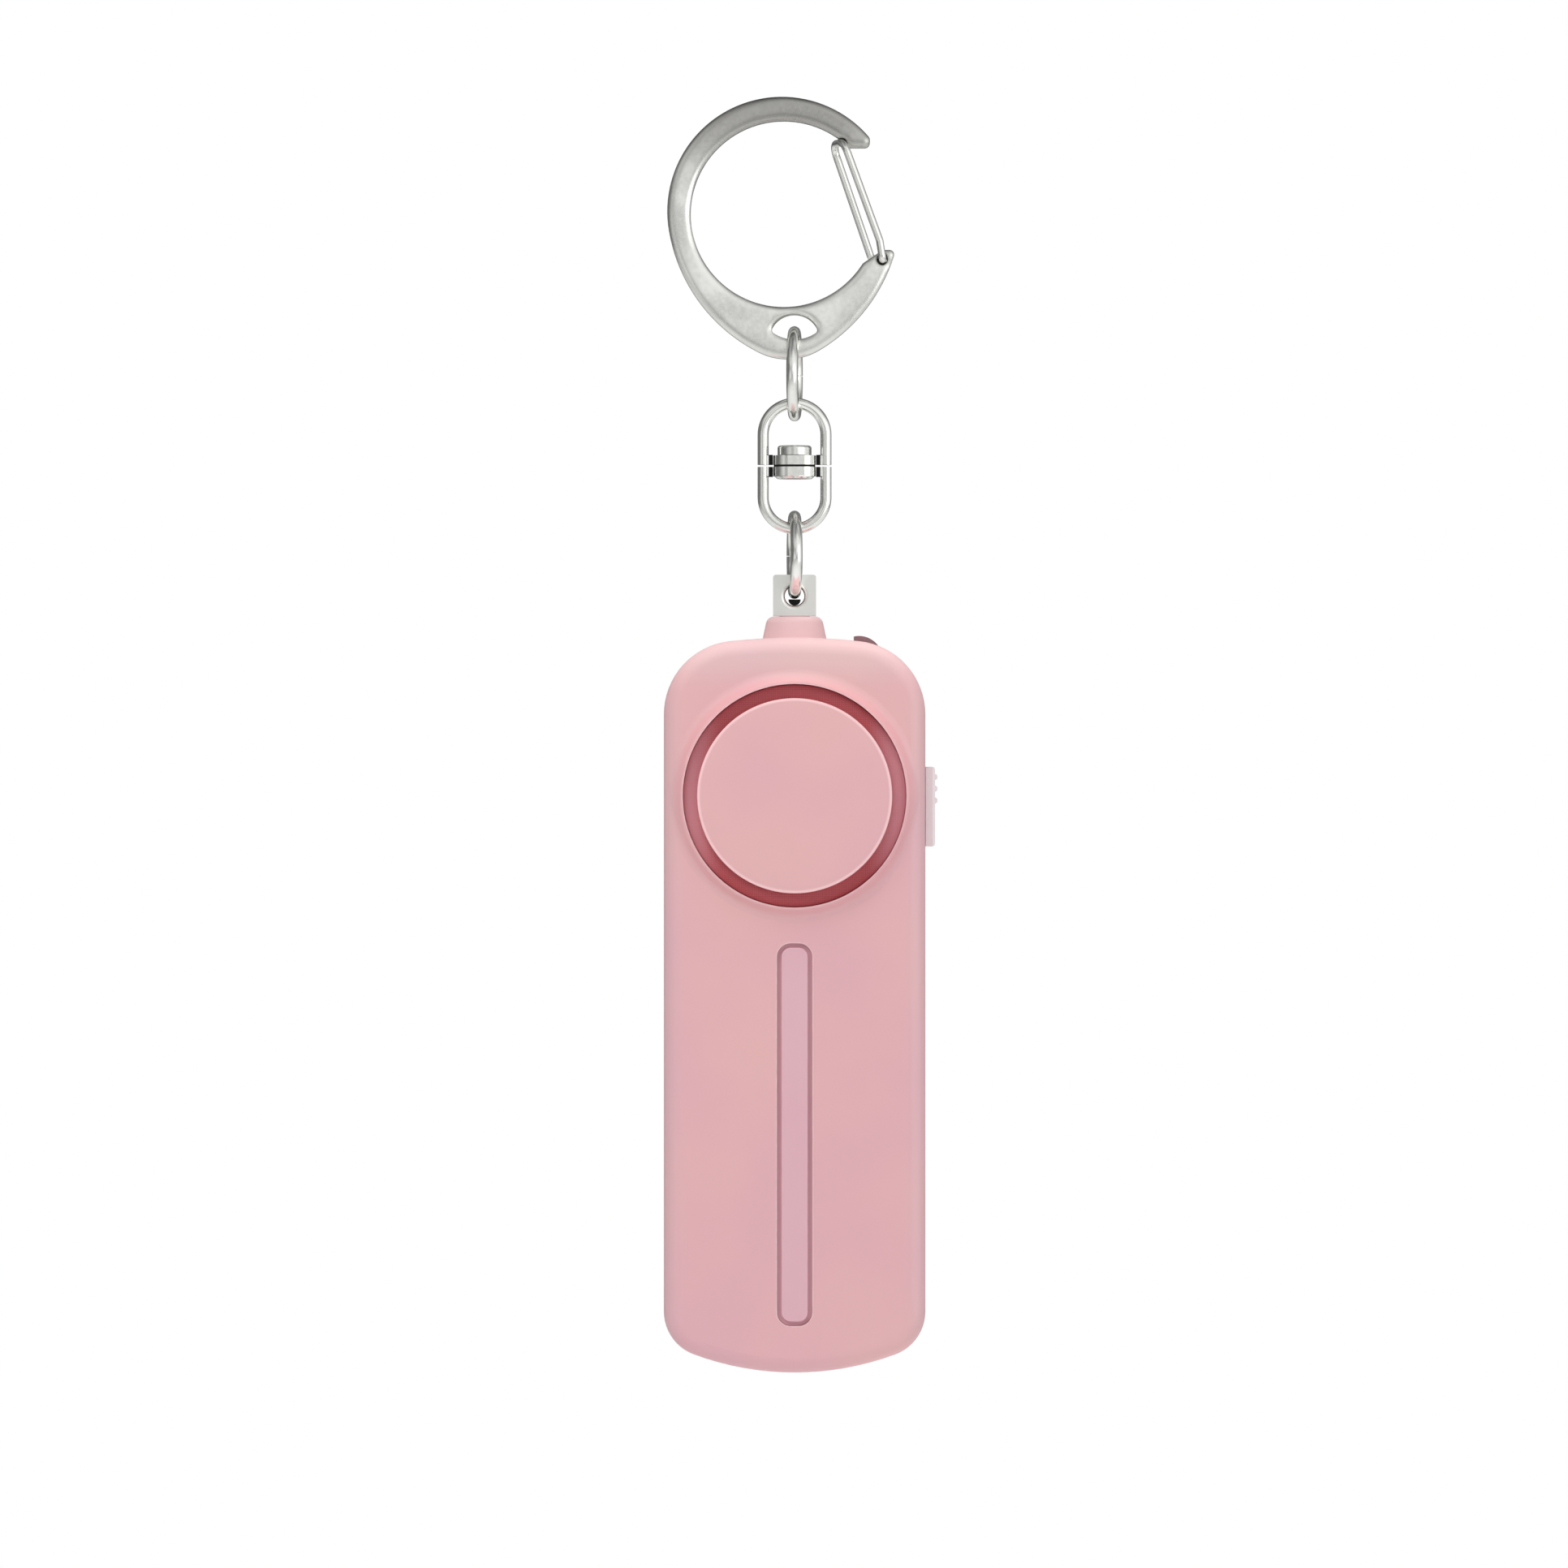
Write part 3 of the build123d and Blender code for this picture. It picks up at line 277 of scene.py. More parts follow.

# %% [markdown]
# Plated and bare metal carry fine rubbing marks that mostly run one way, and faint
# smudges from fingers. A fine noise makes the marks, which a finish can stretch along one
# axis, a broad one makes the smudges, and both change the gloss more than the colour.

# %% Rubbed metal
rubbed, given, result = new_group(
    "rubbed_metal",
    {"Place": None, "Warm": (0.7, 0.7, 0.69, 1), "Cool": (0.6, 0.6, 0.59, 1), "Grain size": 2500.0,
     "Drift size": 180.0, "Gloss low": 0.12, "Gloss high": 0.25},
    {"Color": "Color", "Roughness": "Float", "Height": "Float"})
marks = add(rubbed, "TexNoise", {"Vector": given["Place"], "Scale": given["Grain size"]},
            {"Detail": 2.0, "Roughness": 0.55})
smudge = add(rubbed, "TexNoise", {"Vector": given["Place"], "Scale": given["Drift size"]},
             {"Detail": 3.0, "Roughness": 0.55})
both = add(rubbed, "Math", {0: marks.outputs["Fac"], 1: smudge.outputs["Fac"]},
           operation="MULTIPLY")
gloss = add(rubbed, "MapRange", {"Value": both.outputs[0], "To Min": given["Gloss low"],
                                 "To Max": given["Gloss high"]},
            {"From Min": 0.15, "From Max": 0.36})
cloud = add(rubbed, "MapRange", {"Value": smudge.outputs["Fac"]},
            {"From Min": 0.3, "From Max": 0.7})
MARK_HEIGHT = 0.02              # of the height that a smudge has
wave = add(rubbed, "Math", {0: marks.outputs["Fac"], 2: smudge.outputs["Fac"]}, {1: MARK_HEIGHT},
           operation="MULTIPLY_ADD")
put_out(rubbed, result,
        Color=mix_colour(rubbed, cloud.outputs["Result"], given["Warm"], given["Cool"]),
        Roughness=gloss.outputs["Result"], Height=wave.outputs[0])

# %% [markdown]
# Gaps between the links and slots in the swivel are almost black, because no light gets in.
# This mask paints that shade into the colour. Ambient Occlusion measures how shut in a
# point is. Only the tightest places count, so the mask starts well below half.

# %% Dark crevices
crevices, given, result = new_group(
    "painted_crevice_shade", {"Reach": 0.0008, "Open": 0.5, "Shut": 0.2}, {"Mask": "Float"})
shut_in = add(crevices, "AmbientOcclusion", {"Distance": given["Reach"]}, samples=16)
depth = add(crevices, "MapRange", {"Value": shut_in.outputs["AO"], "From Min": given["Open"],
                                   "From Max": given["Shut"]})
put_out(crevices, result, Mask=depth.outputs["Result"])

# %% [markdown]
# The sound mesh is woven so finely that its threads only show close up. Two sets of
# bands, one across x and one across z, are multiplied: where both are high a thread
# crosses another, and where either is low there is a pit.

# %% Weave
weave, given, result = new_group(
    "woven_mesh", {"Place": None, "Thread": (0.5, 0.1, 0.15, 1), "Pit": (0.2, 0.05, 0.06, 1),
                   "Pitch": 0.00022},
    {"Color": "Color", "Roughness": "Float", "Height": "Float"})
apart = add(weave, "SeparateXYZ", {0: given["Place"]})
bands = []
for axis in ("X", "Z"):
    turns = add(weave, "Math", {0: apart.outputs[axis], 1: given["Pitch"]}, operation="DIVIDE")
    turns = add(weave, "Math", {0: turns.outputs[0]}, {1: math.tau}, operation="MULTIPLY")
    swing = add(weave, "Math", {0: turns.outputs[0]}, operation="SINE")
    band = add(weave, "MapRange", {"Value": swing.outputs[0]}, {"From Min": -1.0, "To Min": 0.35})
    bands.append(band.outputs["Result"])
cloth = add(weave, "Math", {0: bands[0], 1: bands[1]}, operation="MULTIPLY")
dull = add(weave, "MapRange", {"Value": cloth.outputs[0]}, {"To Min": 0.7, "To Max": 0.42})
put_out(weave, result, Color=mix_colour(weave, cloth.outputs[0], given["Pit"], given["Thread"]),
        Roughness=dull.outputs["Result"], Height=cloth.outputs[0])

# %% [markdown]
# The two halves of the case meet in a hair-thin line round the sides, in the plane
# y = 0. It is too fine to model, so a mask darkens the plastic there.

# %% Parting line
parting, given, result = new_group(
    "parting_line", {"Place": None, "Half width": 0.00006}, {"Mask": "Float"})
apart = add(parting, "SeparateXYZ", {0: given["Place"]})
distance = add(parting, "Math", {0: apart.outputs["Y"]}, operation="ABSOLUTE")
line = add(parting, "MapRange", {"Value": distance.outputs[0], "From Max": given["Half width"]},
           {"To Min": 1.0, "To Max": 0.0})
put_out(parting, result, Mask=line.outputs["Result"])


# %% [markdown]
# ## Finishes
# One function wires a shared effect to a Principled shader, with wear on the edges
# where the piece is handled, which on the pink case is partly a painted highlight, and
# painted shade in crevices. A value that is the same all over goes on the shader.
# Where a piece changes its tone from one place to another, a second function lays a
# colour over the finish, by a mask that grows along an axis or peaks on a circle. Most of
# these overlaid tones are painted light and shade; the dark parting line is the case's own.

# %% Finish helper
finishes = {}


def finish(name, effect, values, stretch=(1, 1, 1), bump=(0.1, 0.00005), wear_and_sheen=None, painted_shade=None,
           soften=None, **sockets):
    """Makes a material. bump is (strength, height in metres) of the effect's relief.
    wear is (colour of worn edges, which on the case are partly a painted highlight, reach in
    metres, strength).
    grime is (colour of the painted shade in crevices, reach in metres, how open a shaded place may
    be).
    soften is the radius, in metres, that polishing has given the piece's edges."""
    material = bpy.data.materials.new(name)
    material.use_nodes = True
    tree = material.node_tree
    shader = tree.nodes["Principled BSDF"]
    for key, value in sockets.items():
        shader.inputs[key.replace("_", " ")].default_value = value
    place = add(tree, "TexCoord")
    lay = add(tree, "Mapping", {"Vector": place.outputs["Object"]}, {"Scale": stretch})
    pattern = add(tree, "Group", node_tree=effect)
    tree.links.new(lay.outputs["Vector"], pattern.inputs["Place"])
    for key, value in values.items():
        pattern.inputs[key].default_value = value
    relief = add(tree, "Bump", {"Height": pattern.outputs["Height"]},
                 {"Strength": bump[0], "Distance": bump[1]})
    if soften:
        polished = add(tree, "Bevel", values={"Radius": soften}, samples=8)
        tree.links.new(polished.outputs["Normal"], relief.inputs["Normal"])
    tree.links.new(relief.outputs["Normal"], shader.inputs["Normal"])
    tree.links.new(pattern.outputs["Roughness"], shader.inputs["Roughness"])
    colour = pattern.outputs["Color"]
    if wear_and_sheen:
        rim = add(tree, "Group", node_tree=edges)
        tree.links.new(place.outputs["Object"], rim.inputs["Place"])
        rim.inputs["Reach"].default_value = wear_and_sheen[1]
        amount = add(tree, "Math", {0: rim.outputs["Mask"]}, {1: wear_and_sheen[2]}, operation="MULTIPLY")
        colour = mix_colour(tree, amount.outputs[0], colour, wear_and_sheen[0])
    # Painted shade: shut-in places are darkened in the colour.
    if painted_shade:
        shade_mask = add(tree, "Group", node_tree=crevices)
        shade_mask.inputs["Reach"].default_value = painted_shade[1]
        shade_mask.inputs["Open"].default_value = painted_shade[2]
        colour = mix_colour(tree, shade_mask.outputs["Mask"], colour, painted_shade[0])
    tree.links.new(colour, shader.inputs["Base Color"])
    finishes[name] = material


def retone(name, colour, mask_of):
    """Lays a colour over a finish. mask_of makes its mask from the place on the piece."""
    tree = finishes[name].node_tree
    base = tree.nodes["Principled BSDF"].inputs["Base Color"]
    place = next(node for node in tree.nodes if node.bl_idname == "ShaderNodeTexCoord")
    mask = mask_of(tree, place.outputs["Object"])
    tree.links.new(mix_colour(tree, mask, base.links[0].from_socket, colour), base)


def along_axis(axis, start, end, most, both_ways=False):
    """A mask for retone that grows from 0 to most between two places on an axis."""
    def mask_of(tree, place):
        reach = add(tree, "SeparateXYZ", {0: place}).outputs[axis]
        if both_ways:
            reach = add(tree, "Math", {0: reach}, operation="ABSOLUTE").outputs[0]
        grown = add(tree, "MapRange", {"Value": reach},
                    {"From Min": start, "From Max": end, "To Max": most},
                    interpolation_type="SMOOTHSTEP")
        return grown.outputs["Result"]
    return mask_of


print("finish helpers ready")

# %% [markdown]
# The links are bright plate. The hook is rougher, with edges that polishing has rounded,
# and its top is painted darker, as painted shade. The pin is brushed along its length.
# All three get black painted shade in their tightest crevices.

# %% Metals
# Black painted shade in the crevices of the links, hook and pin.
finish("plated_steel", rubbed,
       {"Warm": srgb(244, 244, 240), "Cool": srgb(228, 229, 224),
        "Gloss low": 0.14, "Gloss high": 0.26},
       bump=(0.3, 0.0001), wear_and_sheen=(srgb(240, 240, 238), 0.0002, 0.3),
       painted_shade=(srgb(8, 8, 8), 0.0008, 0.55), Metallic=1.0)
finish("hook_steel", rubbed,
       {"Warm": srgb(238, 238, 234), "Cool": srgb(214, 215, 210), "Drift size": 120.0,
        "Gloss low": 0.16, "Gloss high": 0.28},
       bump=(0.5, 0.0002), wear_and_sheen=(srgb(240, 240, 238), 0.0002, 0.25),
       painted_shade=(srgb(8, 8, 8), 0.0008, 0.5), soften=0.0012, Metallic=1.0)
# Painted shade: the top of the hook is painted darker.
retone("hook_steel", srgb(160, 159, 155), along_axis("Z", -0.009, 0.001, 0.9))
finish("pin_steel", rubbed,
       {"Warm": srgb(244, 244, 239), "Cool": srgb(234, 235, 230), "Grain size": 3500.0,
        "Gloss low": 0.28, "Gloss high": 0.42},
       stretch=(1, 1, 0.12), bump=(0.08, 0.00003), wear_and_sheen=(srgb(238, 238, 234), 0.0002, 0.6),
       painted_shade=(srgb(10, 8, 8), 0.001, 0.45), Metallic=1.0)
finish("inner_steel", rubbed,
       {"Warm": srgb(196, 196, 194), "Cool": srgb(168, 168, 166), "Grain size": 3000.0,
        "Gloss low": 0.22, "Gloss high": 0.4},
       bump=(0.06, 0.00003), wear_and_sheen=(srgb(225, 225, 222), 0.0001, 0.5), Metallic=1.0)
finish("brass", rubbed,
       {"Warm": srgb(214, 182, 110), "Cool": srgb(186, 150, 82),
        "Gloss low": 0.25, "Gloss high": 0.42},
       bump=(0.06, 0.00003), Metallic=1.0)
print("metals:", sorted(finishes))

# %% [markdown]
# The case is a satin pink that drifts between a peach and a cooler pink, and is painted a
# shade greyer towards its sides, as a painted reflection. The bar in its front and the
# slide switch are moulded apart, so each has its own slightly different tone, as they have
# in the photograph. The sound mesh is painted paler at its left and right, as a painted sheen.


# %% Plastics of the case
def seam_of(tree, place):
    """A mask for retone that marks the parting line of the case."""
    return add(tree, "Group", {"Place": place}, node_tree=parting).outputs["Mask"]


# The pale worn edges of the case are partly wear and partly a painted highlight on its rims.
finish("pink_shell", skin,
       {"Warm": srgb(228, 178, 179), "Cool": srgb(224, 173, 181), "Drift size": 55.0,
        "Gloss low": 0.38, "Gloss high": 0.5},
       bump=(0.08, 0.00002), wear_and_sheen=(srgb(250, 220, 221), 0.0003, 0.8))
# Painted reflection: the case is painted greyer towards its sides.
retone("pink_shell", srgb(208, 188, 194), along_axis("X", 0.0125, 0.0152, 0.24, both_ways=True))
retone("pink_shell", srgb(150, 96, 102), seam_of)
finish("bar_pink", skin,
       {"Warm": srgb(223, 177, 186), "Cool": srgb(220, 172, 184), "Drift size": 90.0,
        "Gloss low": 0.32, "Gloss high": 0.42},
       bump=(0.06, 0.00002), wear_and_sheen=(srgb(240, 198, 205), 0.0002, 0.6))
finish("switch_grey", skin,
       {"Warm": srgb(250, 238, 239), "Cool": srgb(243, 232, 235), "Drift size": 200.0,
        "Gloss low": 0.4, "Gloss high": 0.55},
       bump=(0.12, 0.00003), wear_and_sheen=(srgb(232, 224, 224), 0.0002, 0.6))
# Painted shade darkens the mesh in the shut-in places of its groove.
finish("dark_red_mesh", weave, {"Thread": srgb(196, 96, 102), "Pit": srgb(160, 66, 72)},
       bump=(0.4, 0.00003), painted_shade=(srgb(150, 60, 66), 0.0008, 0.5))
# Painted sheen: the mesh is painted paler towards its left and right.
retone("dark_red_mesh", srgb(214, 150, 160),
       along_axis("X", 0.008, 0.0125, 0.8, both_ways=True))
print("case finishes:", len(finishes))

# %% [markdown]
# The pieces inside are seen only through gaps or with the battery door off, but each
# gets its own material all the same.

# %% Materials of the inside
finish("black_plastic", skin,
       {"Warm": srgb(40, 40, 43), "Cool": srgb(32, 32, 35), "Drift size": 300.0,
        "Gloss low": 0.45, "Gloss high": 0.6},
       bump=(0.15, 0.00004), wear_and_sheen=(srgb(78, 78, 82), 0.0001, 0.5))
finish("white_plastic", skin,
       {"Warm": srgb(224, 221, 212), "Cool": srgb(214, 212, 206), "Drift size": 90.0},
       bump=(0.1, 0.00004), wear_and_sheen=(srgb(238, 236, 230), 0.0002, 0.4))
finish("board_green", skin,
       {"Warm": srgb(34, 104, 62), "Cool": srgb(24, 88, 52), "Drift size": 250.0,
        "Grain size": 9000.0, "Gloss low": 0.2, "Gloss high": 0.32},
       bump=(0.1, 0.00003))
finish("ceramic", skin,
       {"Warm": srgb(222, 219, 208), "Cool": srgb(206, 203, 192), "Drift size": 400.0,
        "Gloss low": 0.3, "Gloss high": 0.5},
       bump=(0.1, 0.00003))
finish("cell_can", rubbed,
       {"Warm": srgb(120, 122, 128), "Cool": srgb(96, 98, 104),
        "Gloss low": 0.2, "Gloss high": 0.34},
       bump=(0.05, 0.00003), Metallic=0.7)
# Flat black for the pieces that paint shade in gaps and in the pull tab's hole.
finish("painted_shade_black", skin,
       {"Warm": srgb(22, 20, 20), "Cool": srgb(14, 14, 15), "Drift size": 400.0,
        "Gloss low": 0.6, "Gloss high": 0.75},
       bump=(0.05, 0.00002), Specular_IOR_Level=0.15)
finish("cell_sleeve", skin,
       {"Warm": srgb(112, 124, 146), "Cool": srgb(104, 116, 140), "Drift size": 90.0,
        "Gloss low": 0.22, "Gloss high": 0.3},
       bump=(0.03, 0.00001))
finish("copper_wire", rubbed,
       {"Warm": srgb(198, 120, 78), "Cool": srgb(168, 92, 56),
        "Gloss low": 0.2, "Gloss high": 0.36},
       bump=(0.05, 0.00003), Metallic=1.0)
finish("lamp_tint", skin,
       {"Warm": srgb(164, 124, 130), "Cool": srgb(146, 108, 115), "Drift size": 350.0,
        "Gloss low": 0.08, "Gloss high": 0.16},
       bump=(0.05, 0.00002), Transmission_Weight=0.35, IOR=1.49)
finish("led_clear", skin,
       {"Warm": srgb(240, 240, 236), "Cool": srgb(228, 230, 226), "Drift size": 500.0,
        "Gloss low": 0.04, "Gloss high": 0.1},
       bump=(0.03, 0.00002), Transmission_Weight=0.6, IOR=1.5)
print("all finishes:", len(finishes))

# %% [markdown]
# The record names a material slot for every CAD node, and the finishes have the slots'
# names. Only the hook differs: it shares the links' slot but has its own finish.

# %% Dress the CAD nodes
slots = {part["node"]: part["material_slot"] for part in frame["record"]["subparts"]}
special = {"snap_hook": "hook_steel"}
for node, thing in frame["nodes"].items():
    for holder in thing.material_slots:
        holder.material = finishes[special.get(node, slots[node])]
print("dressed nodes:", len(slots))

# %% [markdown]
# ## Pieces that are modelled again
# Each new piece starts as an empty bmesh and is shaped by operators. At the end it is
# welded and its faces are turned outwards. Sharp edges are marked, so that smooth
# shading keeps them, and it is told which body of the model carries it.


# %% Piece helper
WELD = 0.000001                     # metres, points nearer than this are one point
CREASE = math.radians(35)           # edges that are sharper than this stay sharp


def settle(shape, name, body, slot, nodes=(), material=None):
    """Turns a finished bmesh into a shaded piece that rides on a body of the model."""
    bmesh.ops.remove_doubles(shape, verts=shape.verts, dist=WELD)
    bmesh.ops.recalc_face_normals(shape, faces=shape.faces)
    for face in shape.faces:
        face.smooth = True
    for edge in shape.edges:
        edge.smooth = edge.calc_face_angle(0) < CREASE
    data = bpy.data.meshes.new(name)
    shape.to_mesh(data)
    shape.free()
    data.materials.append(finishes[material or slot])
    piece = bpy.data.objects.new(name, data)
    bpy.context.collection.objects.link(piece)
    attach(piece, body)
    if nodes:
        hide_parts(*nodes)
    print(name + ":", len(data.polygons), "faces")


def everything(shape):
    """All vertices, edges and faces of a bmesh, as the spin and cut operators want them."""
    return shape.verts[:] + shape.edges[:] + shape.faces[:]


def node_box(node):
    """Lowest corner, highest corner and middle of a CAD node, as vectors in metres."""
    low, high = (Vector(corner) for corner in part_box(node))
    return low, high, (low + high) / 2


print("piece helpers ready")

# %% [markdown]
# ## Link rings
# A link ring is a round wire bent to a circle, with its two cut ends butted together. A
# torus would do for the ring alone. Spinning a filled circle a little short of a full
# turn gives the ring and the joint at once, with a flat cut end on either side of it.
# The rings hang a few degrees turned, one each way, so both strands show from the front.

# %% Link rings
JOINT = math.radians(1.2)       # what the joint takes of the turn


def link_ring(node, body, turn):
    """A wire ring in the place of a CAD ring, turned by some degrees about the chain."""
    low, high, middle = node_box(node)
    wire_r = (high.x - low.x) / 2
    shape = bmesh.new()
    bmesh.ops.create_circle(shape, cap_ends=True, segments=28, radius=wire_r)
    bmesh.ops.translate(shape, verts=shape.verts, vec=(0, (high.z - low.z) / 2 - wire_r, 0))
    bmesh.ops.spin(shape, geom=everything(shape), cent=(0, 0, 0), axis=(1, 0, 0),
                   angle=math.tau - JOINT, steps=112)
    bmesh.ops.rotate(shape, verts=shape.verts, cent=(0, 0, 0),
                     matrix=Matrix.Rotation(math.radians(turn), 3, "Z"))
    bmesh.ops.translate(shape, verts=shape.verts, vec=middle)
    settle(shape, node + "_wire", body, "plated_steel", nodes=[node])


link_ring("upper_link_ring", "upper_ring", -3.3)
link_ring("lower_link_ring", "lower_ring", 3.0)

# %% [markdown]
# ## Turned pieces
# Screws, cells and the sounder's cap are all round about one axis. On a lathe such a
# piece comes from its half outline, and the spin operator works the same way. Round
# stretches of the outline come from a small arc function, so an edge's radius is one
# number that is easy to change.


# %% Lathe helpers
def arc(centre_r, centre_h, radius, start, end, steps=6):
    """Points on an arc of a half outline, angles in degrees from the radial direction."""
    angles = [math.radians(start + (end - start) * step / steps) for step in range(steps + 1)]
    return [(centre_r + radius * math.cos(a), centre_h + radius * math.sin(a)) for a in angles]


def lathe(shape, outline, axis, centre=(0, 0, 0), steps=96):
    """Spins (radius, height) points in millimetres about an axis through centre."""
    up = Vector(axis)
    out = up.orthogonal().normalized()
    start = [shape.verts.new(Vector(centre) + (out * radius + up * height) * MM)
             for radius, height in outline]
    line = [shape.edges.new(pair) for pair in zip(start, start[1:])]
    bmesh.ops.spin(shape, geom=start + line, cent=centre, axis=up, angle=math.tau, steps=steps,
                   use_merge=True)


print("lathe ready")

# %% [markdown]
# The cap over the sounder is almost flat. A dome of a tenth of a millimetre keeps the
# light from lying dead on it, and its rim is rounded a little. A step behind the rim
# holds the mesh ring down.

# %% Sounder cap
low, high, middle = node_box("speaker_cap")
sounder = Vector((middle.x, 0, middle.z))
cap_r, rim, dome, step_in = (high.x - low.x) / 2 / MM, 0.15, 0.1, 0.53
front, back = low.y / MM, high.y / MM
mesh_front = node_box("sound_mesh_ring")[0].y / MM
spigot_r = cap_r - step_in
crown = [(cap_r * step / 8, dome * (step / 8) ** 2) for step in range(8)]
outline = ([(r, front + h) for r, h in crown]
           + arc(cap_r - rim, front + dome + rim, rim, -90, 0)
           + [(cap_r, mesh_front), (spigot_r, mesh_front), (spigot_r, back), (0, back)])
shape = bmesh.new()
lathe(shape, outline, (0, 1, 0), sounder, steps=160)
settle(shape, "sounder_cap", "housing", "pink_shell", nodes=["speaker_cap"])

# %% [markdown]
# The cap's rim gets a fine pale line, a painted highlight. The case is painted a deeper
# pink just round the mesh, as painted shade on the rim of the boss, and its top is
# painted paler, as painted light from above. Three more masks lay those tones over the
# case's finish.


# %% Painted light and shade round the sounder
def round_the_sounder(radius, half_width, most):
    """A mask for retone that peaks on a circle round the sounder, on the front only."""
    def mask_of(tree, place):
        arm = add(tree, "VectorMath", {0: place}, {1: sounder}, operation="SUBTRACT")
        flat = add(tree, "VectorMath", {0: arm.outputs["Vector"]}, {1: (1, 0, 1)},
                   operation="MULTIPLY")
        reach = add(tree, "VectorMath", {0: flat.outputs["Vector"]}, operation="LENGTH")
        off = add(tree, "Math", {0: reach.outputs["Value"]}, {1: radius}, operation="SUBTRACT")
        off = add(tree, "Math", {0: off.outputs[0]}, operation="ABSOLUTE")
        near = add(tree, "MapRange", {"Value": off.outputs[0]},
                   {"From Max": half_width, "To Min": most, "To Max": 0.0},
                   interpolation_type="SMOOTHSTEP")
        front_side = along_axis("Y", -0.0065, -0.0075, 1.0)(tree, place)
        ring = add(tree, "Math", {0: near.outputs["Result"], 1: front_side},
                   operation="MULTIPLY")
        return ring.outputs[0]
    return mask_of


# Painted highlight: a pale line on the cap's rim.
retone("pink_shell", srgb(255, 212, 214), round_the_sounder((cap_r - rim) * MM, 0.0003, 0.8))
# Painted shade: a deeper pink band on the rim of the boss round the mesh.
retone("pink_shell", srgb(228, 164, 168), round_the_sounder(0.0135, 0.0009, 0.55))
# Painted light: the top of the case is painted paler, as if lit from above.
retone("pink_shell", srgb(232, 212, 208), along_axis("Z", -0.0675, -0.0625, 0.38))
print("nodes in the case's finish:", len(finishes["pink_shell"].node_tree.nodes))

# %% [markdown]
# The dark red ring round the cap is a fine sound mesh, stretched over a soft ring so
# that it bulges a little. Its holes are far too small to model, so the weave is a
# material: two waves along the ring's plane, crossed, give threads and the pits between.

# %% Sound mesh
low, high, middle = node_box("sound_mesh_ring")
play, bulge = 0.03, 0.22
ring_out, ring_in = (high.x - low.x) / 2 / MM, spigot_r + play
ring_front, ring_back = low.y / MM, high.y / MM
half = (ring_out - ring_in) / 2
swell = [(ring_in + half + half * math.sin(a), ring_front - bulge * math.cos(a))
         for a in map(math.radians, range(-90, 91, 15))]
shape = bmesh.new()
lathe(shape, [(ring_in, ring_back)] + swell + [(ring_out, ring_back), (ring_in, ring_back)],
      (0, 1, 0), sounder, steps=160)
settle(shape, "sound_mesh", "housing", "dark_red_mesh", nodes=["sound_mesh_ring"])

# %% [markdown]
# ## Screws
# A pan head screw is a dome on a shank with a cross pressed into it. The head is turned
# first. Its flat middle stays open, a cross of twelve points is set in the hole, and
# bridging the two loops closes the metal between them. The cross is then pushed in and
# narrowed, as the punch leaves it.


# %% Screws
FLAT, ARM, SLOT_HALF = 0.72, 0.5, 0.13      # of the head's radius
SHOULDER_AT, DEPTH = 0.3, 0.6               # of the head's height
NARROWING = 0.6                             # of the cross, at the bottom of its pit


def screw(shape, place, way, head_r, head_h, shank_r, length):
    """One screw, in millimetres. place is the middle of its head's underside, in metres.
    way is +1 or -1, where the head looks along y."""
    up = Vector((0, way, 0))
    flat_r, arm, half = head_r * FLAT, head_r * ARM, head_r * SLOT_HALF
    dome = [(r, min(h, head_h))
            for r, h in arc(flat_r, head_h * SHOULDER_AT, head_r - flat_r, 0, 90, steps=5)]
    shank = [(0, -length), (shank_r, -length + shank_r), (shank_r, 0), (head_r, 0)]
    lathe(shape, shank + dome, up, place, steps=40)
    height = dome[-1][1] * way * MM
    rim = [edge for edge in shape.edges if edge.is_boundary
           and all(abs(vert.co.y - place.y - height) < WELD for vert in edge.verts)
           and (edge.verts[0].co - place).length < head_r * 1.3 * MM]
    corners = [(arm, half), (half, half), (half, arm)]
    turned = [(x * math.cos(a) - z * math.sin(a), x * math.sin(a) + z * math.cos(a))
              for a in (math.tau * quarter / 4 for quarter in range(4)) for x, z in corners]
    cross = [shape.verts.new(place + Vector((x * MM, height, z * MM))) for x, z in turned]
    loop = [shape.edges.new((cross[i - 1], cross[i])) for i in range(len(cross))]
    bmesh.ops.bridge_loops(shape, edges=rim + loop)
    pit = bmesh.ops.extrude_edge_only(shape, edges=loop)["geom"]
    low = [thing for thing in pit if isinstance(thing, bmesh.types.BMVert)]
    floor_edges = [thing for thing in pit if isinstance(thing, bmesh.types.BMEdge)
                   and all(vert in low for vert in thing.verts)]
    bmesh.ops.translate(shape, verts=low, vec=up * -head_h * DEPTH * MM)
    bmesh.ops.scale(shape, verts=low, vec=(NARROWING, 1, NARROWING),
                    space=Matrix.Translation(-place))
    bmesh.ops.contextual_create(shape, geom=floor_edges)


low, high, middle = node_box("case_screws")
head_r, head_h = 1.6, 1.2
shape = bmesh.new()
for x in (low.x + head_r * MM, high.x - head_r * MM):
    for z in (low.z + head_r * MM, high.z - head_r * MM):
        screw(shape, Vector((x, high.y - head_h * MM, z)), 1, head_r, head_h,
              shank_r=0.95, length=(high.y - low.y) / MM - head_h)
settle(shape, "case_screw_set", "housing", "inner_steel", nodes=["case_screws"])

low, high, middle = node_box("board_screws")
head_r, head_h = (high.z - low.z) / 2 / MM, 0.9
shape = bmesh.new()
for x in (low.x + head_r * MM, high.x - head_r * MM):
    screw(shape, Vector((x, low.y + head_h * MM, middle.z)), -1, head_r, head_h,
          shank_r=0.7, length=(high.y - low.y) / MM - head_h)
settle(shape, "board_screw_set", "housing", "inner_steel", nodes=["board_screws"])

